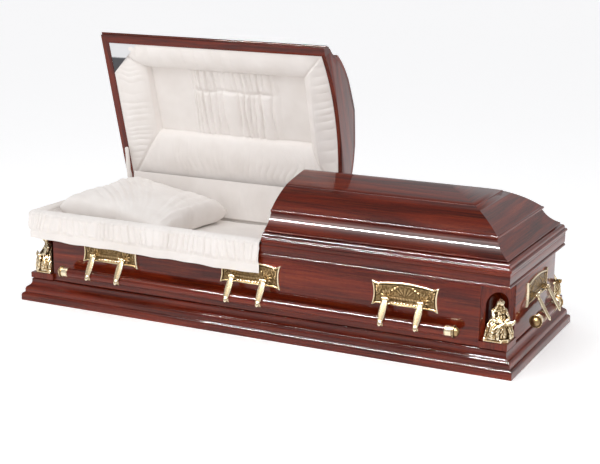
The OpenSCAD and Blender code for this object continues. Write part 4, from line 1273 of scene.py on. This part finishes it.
# %% Lid linings
def lid_lining(name, start, shirred, seed):
    """Lining of a lid whose split end starts at that x, drawn closed with its far end at +X."""
    x0, x1 = start + HEADER, HALF_L - RIM_INSET
    y0, y1 = -(HALF_W - RIM_INSET), HALF_W - RIM_INSET
    low_z, deep = RIM_BOTTOM + 3.5 * MM, 60 * MM
    n_long, n_wide = 330, 220
    x, y = np.meshgrid(np.linspace(x0, x1, n_long), np.linspace(y0, y1, n_wide), indexing="xy")
    border = {"split": 0.116, "far": 0.153, "front": 0.123, "hinge": 0.233}      # width of the roll
    t = {"split": (x - x0) / border["split"], "far": (x1 - x) / border["far"],
         "front": (y - y0) / border["front"], "hinge": (y1 - y) / border["hinge"]}
    order = np.stack(list(t.values()))
    nearest, ordered = order.argmin(0), np.sort(order, 0)
    share = np.clip(ordered[0], 0, 1)
    slope = deep * (1 - (1 - share ** 2.2) ** (1 / 2.2))
    # At the split end the cloth follows the arched edge of the header.
    rise = foot_line + arch * (1 - (y / chord) ** 2) - low_z + 2.5 * MM
    slope = np.maximum(slope, rise * (1 - smooth(t["split"], 0, 0.9)))
    mitre = np.exp(-((ordered[1] - ordered[0]) / 0.05) ** 2) * (share < 1) * smooth(share, 0.03, 0.2)
    roll = np.sin(np.pi * np.clip(share, 0, 1) ** 0.8)

    # Each side of the roll has folds of its own, in the order of the border above.
    few = humps(x + 0.02 * drift(y * 30, x * 3, 1), 0.055, seed + 1)
    few *= smooth(drift(x * 7, y * 0, 3), 0.3, 0.6)
    ends = humps(y + 0.03 * (drift(x * 22, y * 5, 2) - 0.5), 0.034, seed + 2)
    ends *= 0.4 + 0.6 * drift(x * 20, y * 9, 5)
    tucks = humps(y + 0.02 * drift(x * 30, y * 4, 4), 0.042, seed + 3)
    tucks *= 1 - smooth(t["split"], 0.1, 0.75)
    drops = humps(x + 0.05 * (drift(y * 12, x * 4, 6) - 0.5), 0.030, seed + 4)
    drops *= 0.35 + 0.65 * drift(x * 9, y * 14, 7)
    wrinkle = np.zeros_like(x)
    for k, (field, size) in enumerate(((tucks, 6.5), (ends, 6.0), (few, 5.0), (drops, 6.0))):
        wrinkle += size * field * (nearest == k)
    wrinkle *= roll * (1 - mitre)
    depth = slope - wrinkle * MM + 5 * MM * mitre
    # The panel: pleats run across the lid and are pinched along one line.
    if shirred:
        a = x0 + 0.31 * (x1 - x0)
        b = x0 + 0.63 * (x1 - x0)
        pinch = 0.34 * y0 + 0.012 * (drift(x * 30, 0 * x, 12) - 0.5)
        inside = smooth(x, x0 + 0.12 * (x1 - x0), a) * (1 - smooth(x, b, b + 0.05))
        inside *= smooth(x, a - 0.09, a - 0.02)
        above = y < pinch
        fan = x + 0.012 * (drift(x * 30, y * 9, 8) - 0.5) + 0.05 * (y - pinch) * above
        pleat = humps(fan, 0.032, seed + 5) * 0.8 + humps(fan + 0.01, 0.0165, seed + 6) * 0.35 * above
        size = 19.0 + 5.0 * smooth(y, pinch - 0.01, pinch + 0.02)
        size = size - 14 * smooth(y, pinch + 0.08, pinch + 0.28)
        knots = np.exp(-((y - pinch) / 0.010) ** 2)
    else:
        inside, pleat, size, knots = 1 + 0 * x, humps(x, 0.045, seed + 5), 1.5, 0
    sunk = deep + 6 * MM - inside * (pleat * size * (1 - 0.45 * knots)) * MM
    sunk = sunk - 1.6 * MM * drift(x * 8, y * 8, 9)
    blend_in = smooth(ordered[0], 0.97, 1.0)
    depth = np.where(ordered[0] > 1, sunk, depth * (1 - blend_in) + sunk * blend_in)
    # A piped seam marks where the roll meets the panel.
    depth = depth + 4.0 * np.exp(-((ordered[0] - 1.015) / 0.012) ** 2) * MM
    depth = depth - 0.8 * MM * (drift(x * 40, y * 40, 10) - 0.5) * smooth(share, 0.02, 0.2)
    z = low_z + np.clip(depth, -2.2 * MM, 70 * MM)
    lining = cloth(name, np.stack([x, y, z], -1), facing=(0, 0, -1))
    return lining, (x1 - x0, y1 - y0)


# The last two numbers are how much fuller the cloth is cut than the lid is inside.
for lid, start, matrix, shirred, seed, along_more, across_more in (
        ("head_lid", HEAD_START, OPEN_LID, True, 20, 1.25, 1.15),
        ("foot_lid", FOOT_START, Matrix(), False, 40, 1.2, 1.12)):
    lining, (along_lid, across_lid) = lid_lining(f"{lid}_lining_cloth", start, shirred, seed)
    dress(place(lining, matrix), crepe, lid, [f"{lid}_lining"], 180)
    print(f"{lid}: lining {along_lid:.3f} x {across_lid:.3f} m inside the rim")

# %% [markdown]
# ## Corner card
#
# A thin triangular card sits in the far front corner of the open lid. It is a plain sheet with two
# zones of colour, which its own attribute divides, so the line between them stays sharp at any size.

# %% Card in the corner of the lid
reach = 140 * MM
card_x, card_y = HALF_L - RIM_INSET - 1 * MM, -(HALF_W - RIM_INSET) + 1 * MM
tri = [(card_x, card_y), (card_x - reach, card_y), (card_x, card_y + reach)]
card_z = (RIM_BOTTOM + 2.2 * MM, RIM_BOTTOM + 3.2 * MM)
verts = [(x, y, z) for z in card_z for x, y in tri]
faces = [(0, 1, 2), (5, 4, 3), (0, 3, 4, 1), (1, 4, 5, 2), (2, 5, 3, 0)]
zones = [[0.5 + (0.45 * reach - (verts[i][1] - card_y)) * 9, 0, 0] for f in faces for i in f]
corner_card = build("lid_corner_card", verts, faces, corner=zones, layer="zone")
dress(place(corner_card, OPEN_LID), card, "head_lid", ["corner_card"])
print(f"card: {reach / MM:.0f} mm along each short side")

# %% [markdown]
# ## Mattress
#
# The mattress is a soft slab whose cover lies in shallow folds. It starts from the drawn slab, cut
# into even quads, and its upper edges are let down into a round before the folds are pressed in.

# %% Mattress
def remeshed(name, source, voxel):
    """A closed mesh of even quads over another piece's shape."""
    obj = duplicate(source, name)
    modifier = obj.modifiers.new("even", "REMESH")
    modifier.mode = "VOXEL"
    modifier.voxel_size = voxel
    return settled(obj)


def points_of(obj):
    flat = np.empty(len(obj.data.vertices) * 3)
    obj.data.vertices.foreach_get("co", flat)
    return flat.reshape(-1, 3)


def set_points(obj, points):
    obj.data.vertices.foreach_set("co", np.asarray(points, float).ravel())
    obj.data.update()
    return obj


mattress = remeshed("mattress_pad", frame["nodes"]["mattress"], 9 * MM)
p = points_of(mattress)
lo, hi = low("mattress"), high("mattress")
x, y, z = p.T
edge = np.minimum(np.minimum(x - lo.x, hi.x - x), np.minimum(y - lo.y, hi.y - y))
upper = smooth(z, hi.z - 30 * MM, hi.z - 2 * MM)
round_off = 16 * MM * (1 - smooth(edge, -2 * MM, 42 * MM)) ** 2
folds = 3.2 * MM * (1 - humps(x + 0.10 * (y + 0.2) + 0.05 * drift(y * 9, x * 4, 3), 0.07, 31))
p[:, 2] -= upper * (round_off + folds * 0.8 + 3 * MM * drift(x * 11, y * 11, 4))
set_points(mattress, p)
dress(mattress, crepe, "root", ["mattress"], 180)
print("mattress:", len(p), "points")

# %% [markdown]
# ## Pillow
#
# The pillow is two square panels sewn together and stuffed, so it is simulated as just that: a flat
# bag that is blown up, which pulls its sides in and wrinkles it along its seams. Air alone leaves a
# bag rounder than a packed pillow, so the result is filled out to its corners, creased, set down on
# the mattress and leant up towards the head end.

# %% Pillow
BAG_HALF = 0.33                                     # half the side of a panel before it is stuffed


def pillow_bag(n=64, half=BAG_HALF):
    """Two square panels sewn round their edges, seams on the border of both grids."""
    u, v = np.meshgrid(np.linspace(-1, 1, n), np.linspace(-1, 1, n), indexing="ij")
    lens = 0.035 * ((1 - u ** 2) * (1 - v ** 2)) ** 0.5
    top = np.stack([u * half, v * half, lens + 0.0004], -1).reshape(-1, 3)
    under = top * [1, 1, -1]
    index = np.arange(n * n).reshape(n, n)
    inner = np.zeros((n, n), bool)
    inner[1:-1, 1:-1] = True
    second = index.copy()
    second[inner] = n * n + np.arange(inner.sum())
    faces = grid_faces(n, n)
    lower = second.ravel()[faces[:, ::-1]]
    verts = np.concatenate([top, under[index[inner]]])
    return build("pillow_stuffed", verts, [*faces, *lower], merge=0)


pillow = pillow_bag()
cut = points_of(pillow)[:, :2] / BAG_HALF           # where each point was on the flat panels
bag = pillow.modifiers.new("stuffing", "CLOTH")
bag.settings.quality = 6
bag.settings.mass = 0.25
bag.settings.tension_stiffness = 25
bag.settings.compression_stiffness = 12
bag.settings.bending_stiffness = 0.15
bag.settings.use_pressure = True
bag.settings.uniform_pressure_force = 3.0
bag.settings.effector_weights.gravity = 0
scene.frame_start, scene.frame_end = 1, 30
for number in range(1, 31):
    scene.frame_set(number)
settled(pillow)
scene.frame_set(1)
print("stuffed bag:", [round(float(side), 3) for side in np.ptp(points_of(pillow), axis=0)], "m")

# %% [markdown]
# ### Packed, creased and set down
#
# The stuffed bag is measured against the space that the drawing gives the pillow, and every point
# keeps its place on its panel while the thickness is filled out. Creases fan over the top, the whole
# is tilted, and whatever would sink into the mattress is pressed flat on it.

# %% Pillow, set down
lo, hi = low("pillow") + Vector((2, 2, 0)) * MM, high("pillow") - Vector((2, 2, 2)) * MM
p = points_of(pillow)
p = (p - (p.min(0) + p.max(0)) / 2) / ((p.max(0) - p.min(0)) / 2)          # now within -1 to 1
u, v, w = p.T
# The bag is packed hard with wadding, which keeps its corners out and fills it to its seams.
full = np.clip((1 - np.abs(cut[:, 0]) ** 4) * (1 - np.abs(cut[:, 1]) ** 4), 0, 1) ** 0.36
u, v = 0.3 * u + 0.7 * cut[:, 0], 0.3 * v + 0.7 * cut[:, 1]
# Creases fan out over the top from the middle of the front seam and from the head end.
fan = np.arctan2(v + 1.5, u - 0.4 + 0.3 * v) + 0.08 * drift(u * 2, v * 2, 1)
other = np.arctan2(v - 0.5, u + 1.5) + 0.10 * drift(u * 2, v * 2, 2)
crease = 0.75 * humps(fan, 0.115, 51) * (0.4 + 0.6 * drift(u * 3, v * 3, 4))
crease = crease + 0.25 * humps(other, 0.16, 52)
w = np.sign(w) * full * (0.76 + 0.24 * crease)
lean = math.radians(9)
x = u * (hi.x - lo.x) / 2 * 0.985
y = v * (hi.y - lo.y) / 2
thick = (hi.z - lo.z) * 0.40
z = w * thick + 0.05 * thick * (1 - v ** 2) - x * math.sin(lean)
x = x * math.cos(lean) + w * thick * 0.2
z = z - z.min() + lo.z - 22 * MM
rest = lo.z + 1.5 * MM + 1.0 * MM * drift(x * 30, y * 30, 2)
z = np.where(z < rest + 6 * MM, rest + 6 * MM * np.exp((z - rest - 6 * MM) / (16 * MM)), z)
x, y = x + (lo.x + hi.x) / 2, y + (lo.y + hi.y) / 2
squeeze = min(1.0, (hi.z - lo.z) / (z.max() - lo.z))
z = lo.z + (z - lo.z) * squeeze
x = np.clip(x, lo.x, hi.x)
set_points(pillow, np.stack([x, y, z], -1))
smoother = pillow.modifiers.new("finer", "SUBSURF")
smoother.levels = smoother.render_levels = 1
settled(pillow)
dress(pillow, crepe, "root", ["pillow"], 180)
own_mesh(pillow)
print("pillow:", len(pillow.data.polygons), "faces, highest at", round(float(z.max()), 3), "m")

# %% [markdown]
# ## Body lining
#
# Gathered crepe covers the four walls above the bed. It is one long band: its plan line runs round
# the inside and steps round the corner posts, and upright folds push it off the wall.

# %% Body lining
def inner_loop(inset, count):
    """Plan points round the inside of the shell, stepping round the corner posts, and their normals."""
    a, b = HALF_L - inset, HALF_W - inset
    x, y = CORNER_X - 8 * MM, WALL_Y - 100 * MM - 8 * MM
    step = [(x, b), (x, y + 15 * MM), (x + 9 * MM, y), (a, y)]          # from a side wall to an end wall
    back = step[::-1]
    pts = ([(u, -v) for u, v in step] + [(u, v) for u, v in back]
           + [(-u, v) for u, v in step] + [(-u, -v) for u, v in back])
    pts = np.array(pts + pts[:1])
    s = np.concatenate([[0], np.cumsum(np.linalg.norm(np.diff(pts, axis=0), axis=1))])
    at = np.linspace(0, s[-1], count)
    line = np.stack([np.interp(at, s, pts[:, 0]), np.interp(at, s, pts[:, 1])], -1)
    along = np.gradient(line, axis=0)
    along /= np.linalg.norm(along, axis=1, keepdims=True)
    return line, np.stack([-along[:, 1], along[:, 0]], -1), at, s[-1]


loop, inward, at, around = inner_loop(WALL_INSET + 10.5 * MM, 900)
z_rows = np.linspace(low("body_lining").z + 1 * MM, high("body_lining").z - 1 * MM, 26)
rise = (z_rows - z_rows[0]) / (z_rows[-1] - z_rows[0])
LINING_THICK = 0.8 * MM
fold = humps(at[None, :] + 0.01 * drift(rise[:, None] * 3, at[None, :] * 9, 4), 0.032, 61)
out = (3.6 * fold * (1 - 0.4 * rise[:, None]) - 1.8) * MM
pts = loop[None] + inward[None] * out[..., None]
grid = np.concatenate([pts, np.broadcast_to(z_rows[:, None, None], pts.shape[:2] + (1,))], -1)
lining = cloth("body_lining_cloth", grid, LINING_THICK)
dress(lining, crepe, "root", ["body_lining"], 180)
print(f"body lining: {around:.3f} m round the inside")

# %% [markdown]
# ## Back curtain
#
# A strip of the same cloth hides the hinges: it hangs from the lid's back roll and is tucked down
# behind the bed. It crosses the hinge, and it is made as one sheet in place, riding on no body.

# %% Back curtain
CURTAIN_LOW, CURTAIN_HIGH = 0.274, 0.438            # heights of its tucked and its hung edge
u, v = np.meshgrid(np.linspace(0, 1, 260), np.linspace(0, 1, 60), indexing="xy")
x0, x1 = -(HALF_L - RIM_INSET) + 25 * MM, -HEAD_START - HEADER - 3 * MM
fold = humps(u * (x1 - x0) + 0.03 * v * drift(u * 9, v * 2, 5), 0.05, 71)
fold *= 0.3 + 0.7 * drift(u * 14, v * 3, 8)
drape = 0.317 + 0.018 * v ** 1.5 + 0.004 * np.sin(v * np.pi)
drape = drape - 3.5 * MM * fold * np.sin(np.pi * np.clip(v, 0.1, 0.95))
z = CURTAIN_LOW + (CURTAIN_HIGH - CURTAIN_LOW) * v
grid = np.stack([x0 + (x1 - x0) * u, drape, z], -1)
curtain = cloth("back_curtain", grid, LINING_THICK)
dress(curtain, crepe, None, [], 180)
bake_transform(curtain)
print(f"curtain: {x1 - x0:.3f} m long")

# %% [markdown]
# ## Corner figures
#
# Each corner niche holds a small cast figure of a veiled mourner with a sheaf across the lap. It is a
# generic figure, made from the CAD solid's own forms: they are welded into one skin, softened, and
# cut with drapery folds that fall from the shoulders, then darkened and rubbed like the other brass.

# %% Corner figures
def cast_figure(name, node, mirror):
    """A cast skin over the drawn figure, mirrored in X and Y by the pair of signs."""
    obj = remeshed(name, frame["nodes"][node], 1.5 * MM)
    bm = bmesh.new()
    bm.from_mesh(obj.data)
    for _ in range(3):
        bmesh.ops.smooth_vert(bm, verts=bm.verts, factor=0.5, use_axis_x=True, use_axis_y=True,
                              use_axis_z=True)
    bm.normal_update()
    q = np.array([v.co[:] for v in bm.verts])
    n = np.array([v.normal[:] for v in bm.verts])
    foot = low(node).z + 14 * MM                                # top of the plinth
    centre = (low(node) + high(node)) / 2
    rel = (q - np.array(centre)) / MM
    height = (q[:, 2] - foot) / MM
    turn = np.arctan2(rel[:, 1], rel[:, 0])
    fall = turn * 26 + 0.30 * height * np.sin(turn * 2 + 1) + 9 * drift(height / 18, turn * 2, 3)
    fold = humps(fall / 100, 0.062, 81)
    fine = humps(fall / 100 + height / 900, 0.027, 82)
    robed = smooth(height, 3, 12) * (1 - smooth(height, 96, 112))
    push = (2.6 * (fold - 0.6) + 1.1 * (fine - 0.6)) * robed
    uneven = drift(rel[:, 0] / 4.5, rel[:, 2] / 4.5 + rel[:, 1] / 5, 7) - 0.55
    push += 1.6 * uneven * smooth(height, 3, 8)
    q = q + n * push[:, None] * MM
    q = np.clip(q, np.array(low(node)), np.array(high(node)))
    for v, co in zip(bm.verts, q):
        v.co = co
    bpy.data.objects.remove(obj)
    casting = rub(from_bmesh(name, bm), gain=1.5, base=0.5, passes=4)
    return place(casting, Matrix.Diagonal((*mirror, 1, 1)))


for node, mirror in (("figure_front_foot", (1, 1)), ("figure_back_foot", (1, -1)),
                     ("figure_front_head", (-1, 1)), ("figure_back_head", (-1, -1))):
    figure = cast_figure(node.replace("figure", "cast_figure"), "figure_front_foot", mirror)
    dress(figure, brass, "root", [node], 60)
print("each figure has", len(figure.data.polygons), "faces")

# %% [markdown]
# ## Hinges and latch
#
# The hinges and the latch are small, hard and hardly seen. They keep the solid shapes they were drawn
# with, and only take the oxidised steel in place of the drawing's plain colour.

# %% Hinges and latch
for node in frame["nodes"]:
    if node.startswith(("hinges_", "latch")):
        mesh = frame["nodes"][node].data
        for i in range(max(1, len(mesh.materials))):
            if i < len(mesh.materials):
                mesh.materials[i] = dark_steel
            else:
                mesh.materials.append(dark_steel)
        print(node, "in dark steel")

# %% [markdown]
# ## Lid stay
#
# The stay that holds the lid hides in a loose sleeve of the lining cloth, so what shows is a twisted,
# wrinkled tube. Its centre line starts inside the shell and climbs the far end of the open lid, and
# rings of changing radius are set square to that line.

# %% Lid stay
def on_open_lid(u, v):
    """A point of the open head lid's far end: u up from the hinge, v into the lid, in millimetres."""
    u, v = u * MM, (14.5 - v) * MM
    y = HINGE.y - u * math.cos(OPEN_ANGLE) + v * math.sin(OPEN_ANGLE)
    return y, HINGE.z + u * math.sin(OPEN_ANGLE) + v * math.cos(OPEN_ANGLE)


bones = [(0.0, -0.999, 0.313, 0.3810), (0.3, -0.999, *on_open_lid(52, 33)),
         (0.6, -0.998, *on_open_lid(112, 28)), (0.85, -0.997, *on_open_lid(170, 19)),
         (1.0, -0.997, *on_open_lid(205, 14))]
RINGS, ROUND = 110, 40
k = np.linspace(0, 1, RINGS)
spine = section_at(k, bones)
tangent = np.gradient(spine, axis=0)
tangent /= np.linalg.norm(tangent, axis=1, keepdims=True)
first = np.cross(tangent, [1.0, 0, 0])
first /= np.linalg.norm(first, axis=1, keepdims=True)
second = np.cross(tangent, first)
turn, share = np.meshgrid(np.linspace(0, 2 * np.pi, ROUND, endpoint=False), k)
radius = 12.0 - 3.0 * smooth(share, 0.45, 0.95) - 2.0 * np.exp(-((share - 0.52) / 0.07) ** 2)
creases = humps(share * 0.30 + 0.012 * np.sin(turn + 9 * share), 0.016, 91)
twist = np.abs(np.sin(turn * 1.5 + 8 * share))
radius = radius * (0.80 + 0.12 * creases + 0.08 * twist) * MM
radius = np.minimum(radius, 12 * MM) * np.sqrt(np.clip(np.minimum(share, 1 - share) * 40, 0.0, 1))
ring = (spine[:, None, :] + radius[..., None] * (np.cos(turn)[..., None] * first[:, None, :]
                                                + np.sin(turn)[..., None] * second[:, None, :]))
sleeve = build("lid_stay_sleeve", ring.reshape(-1, 3), grid_faces(RINGS, ROUND, wrap=True))
dress(sleeve, crepe, "root", ["lid_stay"], 180)
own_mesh(sleeve)
print(f"sleeve: {np.linalg.norm(np.diff(spine, axis=0), axis=1).sum():.3f} m long")
